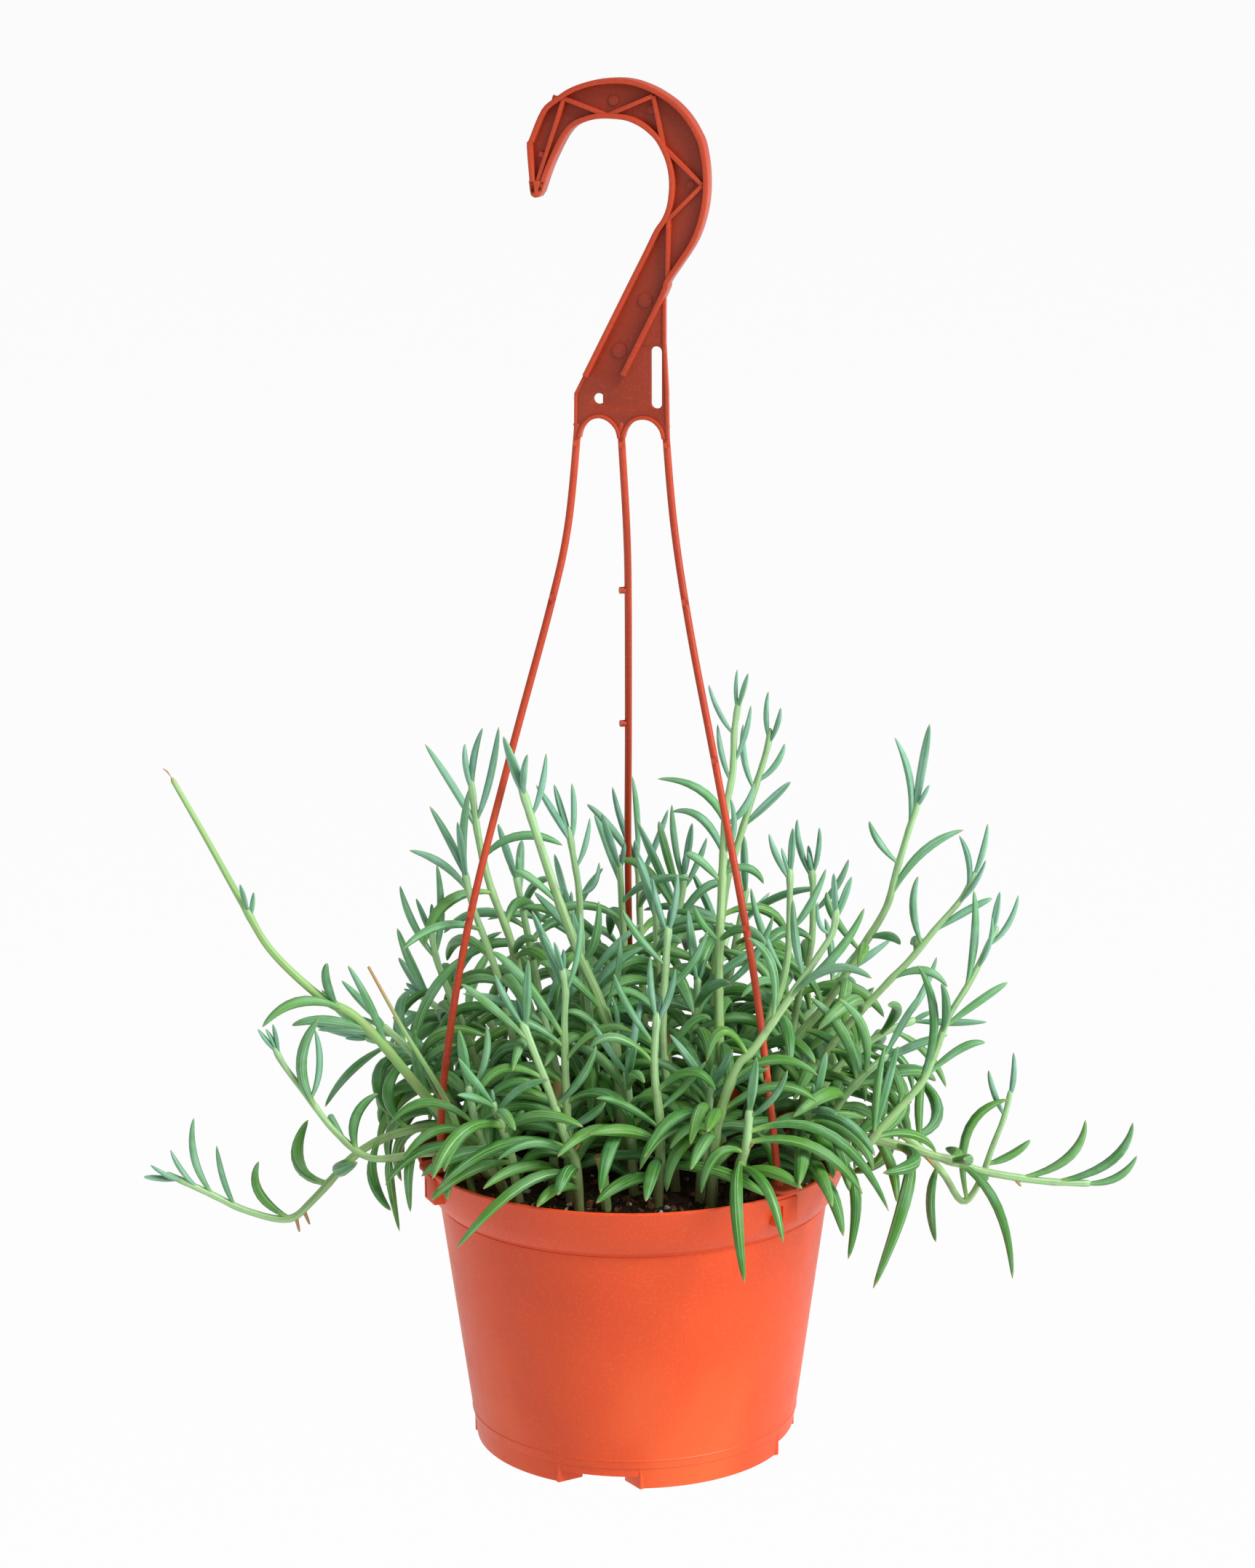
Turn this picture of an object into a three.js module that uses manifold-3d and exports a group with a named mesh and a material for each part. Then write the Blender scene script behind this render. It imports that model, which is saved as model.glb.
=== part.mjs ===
// A potted string of fishhooks in a moulded hanging pot. Millimetres, +Z up.
// The origin is the top of the hook's inner curve, where the pot hangs from.
import * as THREE from 'three';
import { mergeVertices } from 'three/addons/utils/BufferGeometryUtils.js';
import Module from 'manifold-3d';

const wasm = await Module();
wasm.setup();
const { Manifold } = wasm;

// ---------------------------------------------------------------- measures
const AXIS_X = 6;          // the pot's axis stands 6 mm to the right of the hook's saddle
const RIM_Z = -347;        // the rim plane below the saddle
const RIM_R = 75;          // 150 mm pot
const BAND_R = 68.6, BAND_Z = -16.2;       // lower edge of the rim band
const BODY_R = 66.8;                       // wall just below the band
const BASE_R = 55.8, BASE_Z = -96.5;       // wall at the floor
const FOOT_R = 54.7, FOOT_Z = -104;        // the ring of feet
const WALL = 1.8;
const ROD_D = 2.5;
const ROD_AZ = [-67, 43, 178];             // degrees round the rim, 0 at the front
const ROD_SEAT_R = 72;                     // where each rod's flange sits on the rim
const HOOK_DEPTH = 8, WEB = 1.8, FLANGE = 1.7, RIB = 1.4;
const TURN = -11;                          // degrees the hook is turned about the vertical
const GAP = 0.5;                           // clear space under a stem's foot

// ---------------------------------------------------------------- solids
function solidOf(geometry) {
  const g = new THREE.BufferGeometry();
  g.setAttribute('position', geometry.getAttribute('position').clone());
  if (geometry.index) g.setIndex(geometry.index.clone());
  const m = mergeVertices(g, 1e-5);
  return new Manifold(new wasm.Mesh({
    numProp: 3,
    vertProperties: new Float32Array(m.getAttribute('position').array),
    triVerts: new Uint32Array(m.index.array),
  }));
}

function faceted(points, faces) {
  const g = new THREE.BufferGeometry();
  g.setAttribute('position', new THREE.BufferAttribute(new Float32Array(points.flat()), 3));
  g.setIndex(faces.flat());
  return g;
}

function geometryOf(solid) {
  const mesh = solid.getMesh();
  const n = mesh.numProp;
  const pos = new Float32Array(mesh.vertProperties.length / n * 3);
  for (let i = 0; i < pos.length / 3; i++)
    for (let k = 0; k < 3; k++) pos[3 * i + k] = mesh.vertProperties[n * i + k];
  const g = new THREE.BufferGeometry();
  g.setAttribute('position', new THREE.BufferAttribute(pos, 3));
  g.setIndex(new THREE.BufferAttribute(new Uint32Array(mesh.triVerts), 1));
  const flat = g.toNonIndexed();
  flat.computeVertexNormals();
  return flat;
}

const RAD = Math.PI / 180;
const union = (geometries) => geometries.map(solidOf).reduce((a, b) => a.add(b));
const box = (sx, sy, sz, x, y, z) => new THREE.BoxGeometry(sx, sy, sz).translate(x, y, z);
// a cone or cylinder standing on z = 0
const post = (height, foot, top, sides) => new THREE.CylinderGeometry(top, foot, height, sides)
  .rotateX(Math.PI / 2).translate(0, 0, height / 2);
const lathe = (profile, segments) => new THREE.LatheGeometry(profile.map(([r, z]) => new THREE.Vector2(r, z)), segments)
  .rotateX(Math.PI / 2);

function plate(outline, depth, holes = []) {
  const shape = new THREE.Shape(outline.map(([x, y]) => new THREE.Vector2(x, y)));
  shape.holes = holes;
  return new THREE.ExtrudeGeometry(shape, { depth, bevelEnabled: false, curveSegments: 6 }).translate(0, 0, -depth / 2);
}

// The points of a run moved sideways to the left of its way by d.
function beside(run, d, closed) {
  const n = run.length, at = (i) => closed ? run[(i + n) % n] : run[Math.max(0, Math.min(n - 1, i))];
  return run.map((p, i) => {
    const a = at(i - 1), b = at(i + 1);
    const u = [p[0] - a[0], p[1] - a[1]], v = [b[0] - p[0], b[1] - p[1]];
    const lu = Math.hypot(...u) || 1, lv = Math.hypot(...v) || 1;
    const nu = lu > 1e-9 && (u[0] || u[1]) ? [-u[1] / lu, u[0] / lu] : [-v[1] / lv, v[0] / lv];
    const nv = v[0] || v[1] ? [-v[1] / lv, v[0] / lv] : nu;
    const m = [nu[0] + nv[0], nu[1] + nv[1]], k = 2 / Math.max(0.7, m[0] * m[0] + m[1] * m[1]);
    return [p[0] + m[0] * k * d, p[1] + m[1] * k * d];
  });
}
const strip = (run, width, depth) => plate([...run, ...beside(run, width).reverse()], depth);

// ---------------------------------------------------------------- vectors
const add = (a, b) => [a[0] + b[0], a[1] + b[1], a[2] + b[2]];
const sub = (a, b) => [a[0] - b[0], a[1] - b[1], a[2] - b[2]];
const mul = (a, k) => [a[0] * k, a[1] * k, a[2] * k];
const dot = (a, b) => a[0] * b[0] + a[1] * b[1] + a[2] * b[2];
const cross = (a, b) => [a[1] * b[2] - a[2] * b[1], a[2] * b[0] - a[0] * b[2], a[0] * b[1] - a[1] * b[0]];
const length = (a) => Math.sqrt(dot(a, a));
const unit = (a) => mul(a, 1 / (length(a) || 1));
const mix = (a, b, t) => add(mul(a, 1 - t), mul(b, t));

// A seeded number stream, the same every run.
function stream(seed) {
  let a = seed >>> 0;
  return () => {
    a = (a + 0x6D2B79F5) >>> 0;
    let t = a;
    t = Math.imul(t ^ (t >>> 15), t | 1);
    t ^= t + Math.imul(t ^ (t >>> 7), t | 61);
    return ((t ^ (t >>> 14)) >>> 0) / 4294967296;
  };
}

// ---------------------------------------------------------------- the pot's lines
const outerR = (z) => z > BAND_Z
  ? BAND_R + (z - BAND_Z) / -BAND_Z * (RIM_R - BAND_R)
  : BODY_R + (z - BAND_Z) / (BASE_Z - BAND_Z) * (BASE_R - BODY_R);
const soilTop = (r) => -7 + 3 * (1 - (r / 65) * (r / 65));

// Where the three rods run: from the plate down to the rim, in the pot's frame.
const RODS = [
  [[-17.2, 2, 243], [-20.5, 1, 213], [-26.5, -4, 187], [-40.8, -12.5, 136], [-54.6, -21, 82.5], [-63, -26, 33], [-64.8, -27.6, 2.4]],
  [[12.2, -3.4, 243], [14.8, -5, 213], [19.8, -12, 180], [28.2, -26.5, 136], [39.2, -42, 76], [44.5, -49, 34.5], [47.9, -51.4, 2.4]],
  [[-2.5, -0.7, 243], [-1, 2, 213], [-0.6, 12, 187], [-0.8, 33, 136], [-1.2, 54, 82.5], [-0.4, 66, 33], [2.4, 70.2, 2.4]],
];

// ---------------------------------------------------------------- the plant
// Every shoot: name, kind, stem points in the pot's frame, stem radii at foot and tip,
// its own leaves [place along the stem, tip x, y, z, arch x, y, z, width] and, for the
// shoots that go on by rule, [first, last place, how many, longest, seed].
// Kinds: leafy, bare (a spent flower stalk), stub (a cut stem).
const SHOOTS = [
  ['flower_stalk_left', 'bare', [[-46, -14, 0], [-66, -18, 18], [-90, -22, 49.4], [-104, -22, 58.5], [-120, -22, 74.5], [-129, -22, 90.5], [-141, -22, 114], [-151, -22, 133]], 2, 0.9,
    [[0.46, -101.5, -24, 71, -2.5, 0, 1, 5], [0.44, -123, -23, 51, -2, 0, 8, 5.6], [0.38, -113.6, -26, 50, -2, -1, 4, 5], [0.33, -95, -20, 69, 1, 0, 1, 4.4], [0.71, -129.5, -23, 99, 0, 0, 0, 2.4], [0.7, -125.5, -22, 95, 0, 0, 0, 2.2]], null],
  ['shoot_left_front_small', 'leafy', [[-44, -32, 0], [-56, -41, 9], [-70, -44, 11], [-87, -40, 8], [-99, -34, 15], [-108, -31, 26], [-116, -30, 37], [-119, -30, 43]], 1.5, 0.9,
    [[0.98, -122, -30, 50, 0, 0, 1, 2.4], [0.97, -119.5, -31, 52, 0, 0, 1, 2.4], [0.77, -104, -31, 54, -7, 0, 0, 6.4], [0.8, -106, -27, 49, 3, 0, -1, 4], [0.62, -101, -27, 17, -3, 0, 4, 3.6], [0.45, -78.5, -36, -19, -2, -2, 9, 4.8], [0.36, -74, -40, -8, -2, -2, 7, 4.4]], null],
  ['trailing_left', 'leafy', [[-38, -9, 0], [-55, -11, 7], [-72, -13, 10], [-92, -16, 3], [-108, -19, -13], [-117, -20, -20], [-131, -20, -17], [-143, -20, -11], [-153, -20, -6], [-157, -20, -4]], 1.7, 1,
    [[0.97, -164.5, -20, -2, -1, 0, 0, 2.8], [0.96, -162, -21, 2.5, 0, 0, -1, 2.8], [0.88, -148, -20, 16, -4, 0, -1, 4.2], [0.92, -156, -22, 5.5, -1, 0, -1, 3], [0.82, -140.5, -21, 6.5, -1, 0, -2, 3.6], [0.68, -126.5, -20, 0.5, -7, 0, -1, 5.2]], [0.14, 0.55, 6, 32, 11]],
  ['shoot_a', 'leafy', [[-26, 12, 0], [-30, 12, 25], [-38, 11, 55], [-42, 10, 71], [-48, 10, 88], [-52, 10, 106], [-54, 10, 124]], 1.7, 1.1,
    [[0.98, -56, 10, 138, -1, 0, 0, 3.6], [0.97, -50, 12, 143, -2, 1, 0, 3.6], [0.9, -44.5, 9, 144, 1, 0, -2, 4.4], [0.88, -69.5, 10, 138, 2, 0, -2, 4.4]], [0.14, 0.8, 8, 35, 21]],
  ['shoot_b', 'leafy', [[-34, -5, 0], [-38, -5, 25], [-44, -5, 55], [-48, -5, 69], [-53.5, -5, 85], [-56, -5, 97]], 1.6, 1,
    [[0.98, -67.5, -5, 120, 2, 0, -2, 4.6], [0.93, -74.5, -6, 105, 2, 0, 3, 4.4], [0.98, -54, -4, 126, -2, 0, -1, 4.6], [0.97, -58, -7, 116, 0, 0, 0, 3.2]], [0.19, 0.8, 7, 35, 22]],
  ['shoot_c', 'leafy', [[-42, 6, 0], [-50, 6, 15], [-58, 6, 40], [-66, 5, 62], [-68, 4, 74]], 1.5, 1,
    [[0.88, -78.5, 5, 90, -2, 0, -1, 4.2], [0.9, -66, 6, 97, 2, 0, -1, 4.6], [0.97, -73, 3, 86, 0, 0, 0, 2.6]], [0.14, 0.7, 6, 33, 23]],
  ['shoot_d', 'leafy', [[-2, -28, 0], [-4, -27, 20], [-6, -25, 41], [-11, -22, 57], [-17.5, -20, 72], [-24, -20, 90], [-30, -20, 109], [-34.5, -20, 124], [-36, -20, 129]], 2.1, 1.3,
    [[0.97, -42, -20, 147, 0, 0, 0, 4.2], [0.98, -34, -21, 142, -1, 0, 0, 3.8], [0.93, -28, -19, 141, 1, 0, -2, 3.6], [0.7, -39, -21, 101, -3, 0, 5, 4.6], [0.55, -11, -21, 91, 2, 0, -3, 5], [0.42, -31, -25, 71, -2, -1, 6, 5.2], [0.33, -22, -30, 55, -2, -1, 6, 4.6], [0.42, -4, -22, 79, 2, 0, -2, 4], [0.33, -7, -27, 60, 2, 0, 0, 3]], [0.08, 0.24, 5, 33, 24]],
  ['shoot_n', 'leafy', [[-21, -43, 0], [-22, -42, 25], [-22.5, -39, 52], [-22, -38, 65], [-23, -38, 72]], 1.6, 1,
    [[0.98, -29.5, -38, 84, 0, 0, 0, 2.8], [0.98, -25.5, -39, 83, 0, 0, 0, 2.4], [0.9, -33, -37, 91, 1, 0, -2, 4.2], [0.7, -46, -40, 79, -2, -1, 7, 5], [0.66, -46, -41, 54, -2, -1, 7, 4.8], [0.6, 0, -43, 52, 0, -1, 8, 4.6], [0.9, -17, -39, 92, 2, 0, -1, 3.6]], [0.09, 0.5, 6, 33, 25]],
  ['shoot_e', 'leafy', [[-12, 6, 0], [-15, 6, 30], [-17, 5, 60], [-17.5, 5, 78], [-18, 5, 89], [-20, 5, 102], [-21, 5, 109]], 1.6, 1,
    [[0.96, -32, 4, 125, 1, 0, -1, 4], [0.98, -26, 5, 124, 0, 0, -1, 3.4], [0.96, -20, 6, 125, 1, 0, 0, 3.6], [0.8, -11, 4, 98, 2, 0, -3, 3.2], [0.88, -14, 6, 113, 1, 0, -1, 3.2], [0.66, -33, 3, 88, 1, 0, -1, 4.4]], [0.09, 0.6, 7, 34, 26]],
  ['shoot_f', 'leafy', [[4, 50, 0], [4, 54, 30], [3, 58, 60], [2.5, 59, 78], [2, 59, 86]], 1.6, 1,
    [[0.96, -15.5, 60, 105, -1, 0, 4, 4.4], [0.97, -6.5, 61, 111, -1, 0, 0, 3.8], [0.98, 0.5, 60, 115, 1, 0, 0, 3.8], [0.9, 13, 60, 103, 1, 0, 1, 3.8]], [0.14, 0.8, 7, 33, 27]],
  ['shoot_o', 'leafy', [[8, 30, 0], [8, 31, 25], [10, 31, 45], [13, 30, 62], [17, 30, 79], [18, 30, 87]], 2, 1.2,
    [[0.9, 9.5, 30, 106, -1, 0, 3, 5], [0.86, 2, 30, 106, 0, 0, 0, 3.8], [0.97, 14, 29, 112, -1, 0, 0, 4], [0.97, 21, 31, 105, 0, 0, 0, 3.4], [0.93, 26, 30, 100, 1, 0, 0, 3.6], [0.84, -4.5, 30, 93, 0, 0, 8, 5.2], [0.78, 34, 33, 82, 1, 0, 9, 5]], [0.14, 0.66, 6, 34, 28]],
  ['shoot_g', 'leafy', [[30, -26, 0], [29, -24, 20], [29, -22, 45], [29, -18, 67], [30, -12, 89], [31.5, -8, 117], [34, -5, 131], [34.5, -5, 145], [36, -5, 155]], 1.9, 1,
    [[0.98, 35.5, -5, 166, -0.5, 0, 0, 2.4], [0.98, 39, -5, 165.5, 0, 0, 0, 2.4], [0.93, 26, -5, 161, -1, 0, -1, 3], [0.87, 40, -6, 154, 1, 0, -1, 3.2], [0.83, 29, -3, 147, -1, 0, -1, 3.2], [0.74, 41, -8, 128, 2, 0, -2, 4], [0.5, 21, -18, 88, -2, 0, 0, 4.2], [0.4, 47, -22, 86, 3, 0, -3, 4.4], [0.62, 18, -10, 104, -2, 0, 4, 4.6], [0.68, 33, -9, 124, 3, 0, -2, 3.4]], [0.08, 0.33, 6, 34, 29]],
  ['shoot_h', 'leafy', [[24, 14, 0], [26, 14, 25], [28, 13, 55], [32.5, 12, 89], [36, 12, 101.5], [40.5, 12, 116.5], [46, 12, 135], [47, 12, 141]], 1.8, 1,
    [[0.98, 46.5, 12, 155, -1, 0, 0, 3.2], [0.97, 50.5, 13, 150, 1, 0, 0, 3], [0.88, 52, 12, 137, 2, 0, -1, 3.6], [0.86, 38, 11, 144, -2, 0, -1, 3.8], [0.7, 9, 12, 125, 6, 0, 9, 4.8], [0.66, 14, 14, 113, 2, 0, 9, 4.6], [0.77, 54, 11, 124, 1, 0, 1, 3.8]], [0.08, 0.55, 8, 35, 30]],
  ['shoot_i', 'leafy', [[36, -11, 0], [40, -12, 22], [46, -11, 47], [50, -10, 57], [52.5, -10, 70], [53, -10, 88], [53, -10, 98]], 1.6, 1,
    [[0.97, 46, -10, 111, -1, 0, 0, 3.6], [0.98, 54, -10, 113, 0, 0, 0, 3.2], [0.8, 65, -11, 99, 1, 0, -2, 4.2], [0.66, 40, -9, 92, -2, 0, -1, 4.2]], [0.14, 0.55, 6, 34, 31]],
  ['shoot_p', 'leafy', [[26, -49, 0], [27, -53, 20], [33.5, -57, 43], [39, -58, 50], [46.5, -58, 61], [61, -58, 83], [65, -58, 90], [66, -58, 97]], 1.9, 1,
    [[0.78, 52, -59, 101, -1, 0, -1, 4.6], [0.93, 60, -58, 100, -2, 0, -3, 2.6], [0.62, 37.5, -58, 88, 5, 0, 6, 4.8], [0.74, 75, -59, 98, 3, 0, -2, 4.8], [0.7, 77, -60, 77, 0, 0, 9, 5], [0.5, 24, -63, 48, -2, -2, 13, 5], [0.4, 60, -63, 43, 0, -1, 9, 5], [0.3, 60, -60, 33, 2, -2, 10, 5], [0.97, 71, -57, 108, 0, 0, 0, 3.2], [0.22, 12, -62, 18, 0, -2, 8, 4.8], [0.98, 65, -60, 110, 0, 0, 0, 2.8]], null],
  ['shoot_j', 'leafy', [[46, 18, 0], [52, 18, 20], [58, 16, 50], [61.5, 15, 66], [62, 15, 84], [61.5, 15, 92]], 1.6, 1,
    [[0.97, 56.5, 15, 110, -2, 0, 0, 3.8], [0.98, 64, 15, 107, 1, 0, 0, 3.2], [0.85, 74, 14, 96, 2, 0, -1, 4]], [0.14, 0.75, 7, 34, 32]],
  ['shoot_k', 'leafy', [[38, 0, 0], [46, 0, 15], [54, 0, 34], [66, 0, 49], [77, 0, 67], [86, 0, 82.5], [89, 0, 94], [93.5, 0, 110], [96.5, 0, 119]], 1.8, 1,
    [[0.97, 100, 0, 146, 0, 0, 0, 4], [0.93, 88.5, 2, 141, 3.5, 0, 1, 4.2], [0.75, 112, 2, 109, -2.5, 0, 5, 4.8], [0.64, 90.5, -5, 71, 2, 0, 2, 5], [0.6, 66, 1, 88, -4, 0, 2, 4.8], [0.84, 80, -1, 113, -2, 0, 0, 4]], [0.14, 0.5, 6, 35, 33]],
  ['shoot_l', 'leafy', [[52, -8, 0], [58, -9, 18], [68, -10, 38], [86, -10, 59], [93.5, -10, 67], [103, -10, 79], [110.5, -10, 88], [115, -10, 97]], 1.6, 0.9,
    [[0.98, 119, -10, 114, 1, 0, -1, 3.4], [0.95, 109.5, -10, 110, 2.5, 0, 0, 3.6], [0.9, 118, -12, 103, 1, 0, -1, 3], [0.75, 96, -10, 96, -3, 0, 1, 4.4], [0.8, 121, -9, 88, 2, 0, 2, 4.2], [0.62, 106, -12, 58, 2, 0, 6, 4.6]], [0.14, 0.5, 6, 35, 34]],
  ['shoot_m', 'leafy', [[46, -28, 0], [60, -32, 5], [73, -36, 6], [84, -36, 18], [95.5, -35, 31], [100.5, -35, 42], [104.5, -35, 54], [112, -35, 67], [117, -35, 78], [120, -35, 84]], 1.6, 0.9,
    [[0.97, 121, -35, 97, 0, 0, 0, 3], [0.95, 127, -36, 96, 2, 0, -2, 3.2], [0.82, 112.4, -35, 97.5, 2, 0, 1, 4.6], [0.88, 118, -37, 90, 2, 0, -1, 2.8], [0.34, 83.5, -39, 46, -1, 0, 0, 4.4], [0.33, 88, -34, 44, 0, 0, 0, 4], [0.68, 101.5, -35, 68, 2, 0, 1, 4.6], [0.52, 94, -34, 73, 7, 0, 2, 5], [0.7, 124, -35, 66, 2, 0, 2, 4.4], [0.22, 71, -52, -24, 5, -4, 8, 5.2], [0.55, 117, -34, 45, 2, 0, 5, 4.4]], null],
  ['trailing_right', 'leafy', [[44, -18, 0], [60, -20, 6], [76, -20, 8], [92, -20, 4], [110, -20, -1.5], [118, -20, -4.5], [138, -20, -8], [154, -20, -9]], 1.9, 1.1,
    [[0.8, 152.5, -20, 13.5, 7, 0, -4, 5], [0.9, 168.5, -20, 12.5, 7.5, 0, -4.5, 5], [0.98, 170, -21, 1, 3, 0, -4, 4.2], [0.6, 128, -28, -40, 5, -2, 9, 5], [0.46, 80, -42, -38, 6, -6, 12, 6]], [0.09, 0.42, 6, 35, 35]],
  ['loop_right', 'leafy', [[50, 2, 0], [68, 2, 6], [90, 1, 3], [105, 0, -10], [113, 0, -22], [119, 0, -15], [123, 0, -3], [127, 0, 8], [129, 0, 17]], 1.6, 0.9,
    [[0.98, 130, 1, 31, 1, 0, -1, 3.4], [0.93, 121.5, 0, 25, -1, 0, 0, 3.6], [0.66, 128, -3, 15.5, -9, 0, 9, 5.4], [0.78, 136.5, 3, -1, 1, 0, -1.5, 4.6], [0.52, 104, -2, -36, -3, -1, 3, 5], [0.45, 101, 8, 26, -2, 1, 2, 5]], [0.14, 0.4, 5, 35, 36]],
  ['front_right_rim', 'leafy', [[33, -54, 0], [35, -57, 10], [37, -59, 18], [38, -60, 30]], 1.9, 1.2,
    [[0.5, 35.5, -88, -19, -3, -6, 12, 5.6], [0.45, 48, -86, -6, 2, -5, 9, 4.8], [0.7, 75, -62, 2, 3, -3, 11, 5.6], [0.8, 84, -56, -6, 4, -2, 18, 5.6], [0.97, 40, -62, 50, 0, 0, 0, 4.2], [0.95, 50, -63, 46, 2, 0, -2, 4.2], [0.6, 22, -66, 4, -3, -2, 9, 5]], null],
  ['front_left_rim', 'leafy', [[-42, -40, 0], [-48, -44, 9], [-52, -46, 22], [-54, -46, 34]], 1.8, 1.1,
    [[0.4, -82, -50, 2, -2, -2, 12, 5], [0.5, -76, -54, 12, 0, -2, 12, 5], [0.3, -36, -58, 26, 2, 0, 6, 4.6], [0.7, -80, -46, 22, -2, 0, 10, 5], [0.98, -57, -46, 54, 0, 0, 0, 4.4], [0.95, -48, -47, 56, 3, 0, 0, 4.2], [0.8, -30, -50, 34, 2, 0, 9, 5]], null],
  ['front_middle', 'leafy', [[8, -48, 0], [9, -50, 20], [7, -51, 42], [8, -51, 60]], 1.8, 1.1,
    [[0.98, 6, -51, 80, -1, 0, 0, 4], [0.96, 14, -52, 76, 1, 0, -1, 4], [0.75, -14, -54, 50, -2, 0, 8, 5], [0.6, 27, -56, 36, 2, -1, 9, 5], [0.4, -12, -58, 34, -2, 0, 4, 4.6], [0.2, 43, -66, 3, 2, -2, 5, 6.2], [0.85, -6, -50, 74, -2, 0, 0, 4.2], [0.5, 24, -54, 44, 1, 0, 0, 4.4]], null],
  ['front_mid_left', 'leafy', [[-18, -53, 0], [-19, -53, 10], [-22, -52, 18], [-29, -49, 38], [-36, -46, 56]], 1.7, 1.1,
    [[0.98, -45, -46, 73, -1, 0, 0, 4], [0.96, -34, -47, 78, 0, 0, 0, 3.8], [0.9, -56, -47, 70, -2, 0, 3, 4.6], [0.7, -52, -50, 30, -4, 0, 10, 5], [0.32, -64, -63, 5, 0, -2, 12, 5.4],
      [0.16, -58, -74, -12, 4, -5, 16, 5.2], [0.26, -44, -66, 16, 0, -1, 8, 5], [0.55, -12, -58, 52, 3, 0, 0, 4.4], [0.42, -9, -58, 34, 2, 0, 0, 4.2]], null],
  ['pale_stem_front', 'leafy', [[14, -36, 0], [12, -35, 24], [10, -33, 48], [11, -32, 70], [12, -31, 84]], 1.7, 1.1,
    [[0.98, 7, -31, 101, -1, 0, 0, 4], [0.98, 15, -32, 103, 1, 0, 0, 3.8], [0.86, -3, -33, 91, -2, 0, 0, 4.2], [0.76, 25, -33, 84, 2, 0, -2, 4.4], [0.66, -8, -36, 62, -2, 0, 7, 4.8], [0.5, 26, -36, 54, 2, 0, 8, 4.8]], null],
  ['cut_stem_1', 'stub', [[-27, -29, 0], [-26, -29, 18], [-25, -28, 32]], 1.7, 1.5, [], null],
  ['cut_stem_2', 'stub', [[12, -6, 0], [12, -6, 22], [11.5, -5, 42]], 1.6, 1.4, [], null],
  ['cut_stem_3', 'stub', [[-9, -52, 0], [-10, -53, 7], [-11.5, -54, 13]], 1.7, 1.5, [], null],
  ['dry_stalk', 'stub', [[-54, -33, 0], [-60, -36, 22], [-76, -37, 52], [-87, -36, 73]], 1.3, 0.5, [], null],
];

// The rest of the clump, shoot by shoot: foot x, y, top x, y, z, sag of the run, leaves, seed.
const CLUMP = [
  [-10, -14, -16, -16, 66, 2, 14, 101], [10, 8, 8, 4, 84, 1, 15, 102], [26, 32, 40, 42, 78, 3, 15, 103],
  [-26, 30, -40, 38, 84, 3, 15, 104], [-12, 44, -22, 62, 66, 4, 14, 105], [22, 52, 34, 76, 52, 5, 14, 136],
  [44, 36, 74, 54, 44, 5, 14, 107], [-42, 34, -74, 50, 38, 5, 14, 108], [-54, 14, -92, 26, 30, 6, 14, 109],
  [56, 18, 98, 30, 34, 6, 14, 110], [-20, -20, -30, -18, 52, 2, 13, 111], [18, -14, 22, -16, 62, 2, 14, 112],
  [-36, 52, -66, 90, 14, 8, 14, 113], [40, 54, 66, 92, 8, 8, 14, 114], [-2, 58, -6, 98, 6, 8, 14, 115],
  [58, -22, 84, -24, 40, 5, 13, 116], [-56, -6, -84, -8, 44, 5, 13, 117], [0, 24, -4, 22, 92, 1, 15, 118],
  [-38, -46, -46, -50, 30, 2, 12, 119], [0, -40, -2, -42, 38, 2, 12, 120], [22, -44, 26, -46, 34, 2, 12, 121],
  [55, -34, 60, -42, 26, 2, 12, 122], [-58, 6, -66, 4, 28, 2, 12, 123],
];

const LEAF_W = [[0, 0.4], [0.14, 0.6], [0.38, 0.95], [0.62, 1], [0.84, 0.7], [1, 0.03]];
function widthAt(s) {
  for (let i = 1; i < LEAF_W.length; i++)
    if (s <= LEAF_W[i][0]) {
      const k = (s - LEAF_W[i - 1][0]) / (LEAF_W[i][0] - LEAF_W[i - 1][0]);
      return LEAF_W[i - 1][1] + k * (LEAF_W[i][1] - LEAF_W[i - 1][1]);
    }
  return LEAF_W[LEAF_W.length - 1][1];
}

function bezier(P, s) {
  const r = 1 - s;
  const a = r * r * r, b = 3 * r * r * s, c = 3 * r * s * s, d = s * s * s;
  return [0, 1, 2].map((i) => a * P[0][i] + b * P[1][i] + c * P[2][i] + d * P[3][i]);
}

// A smooth run through the points, sampled n steps a span.
function runThrough(points, n) {
  const out = [];
  const at = (i) => points[Math.max(0, Math.min(points.length - 1, i))];
  for (let i = 0; i + 1 < points.length; i++)
    for (let k = 0; k < n; k++) {
      const t = k / n, t2 = t * t, t3 = t2 * t;
      out.push([0, 1, 2].map((j) => 0.5 * (2 * at(i)[j] + (at(i + 1)[j] - at(i - 1)[j]) * t
        + (2 * at(i - 1)[j] - 5 * at(i)[j] + 4 * at(i + 1)[j] - at(i + 2)[j]) * t2
        + (3 * at(i)[j] - at(i - 1)[j] - 3 * at(i + 1)[j] + at(i + 2)[j]) * t3)));
    }
  out.push(points[points.length - 1]);
  return out;
}

function alongRun(run, t) {
  let total = 0;
  for (let i = 1; i < run.length; i++) total += length(sub(run[i], run[i - 1]));
  let want = t * total;
  for (let i = 1; i < run.length; i++) {
    const d = length(sub(run[i], run[i - 1]));
    if (want <= d || i === run.length - 1) return [mix(run[i - 1], run[i], Math.min(1, want / d)), unit(sub(run[i], run[i - 1]))];
    want -= d;
  }
  return [run[0], [0, 0, 1]];
}

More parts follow.
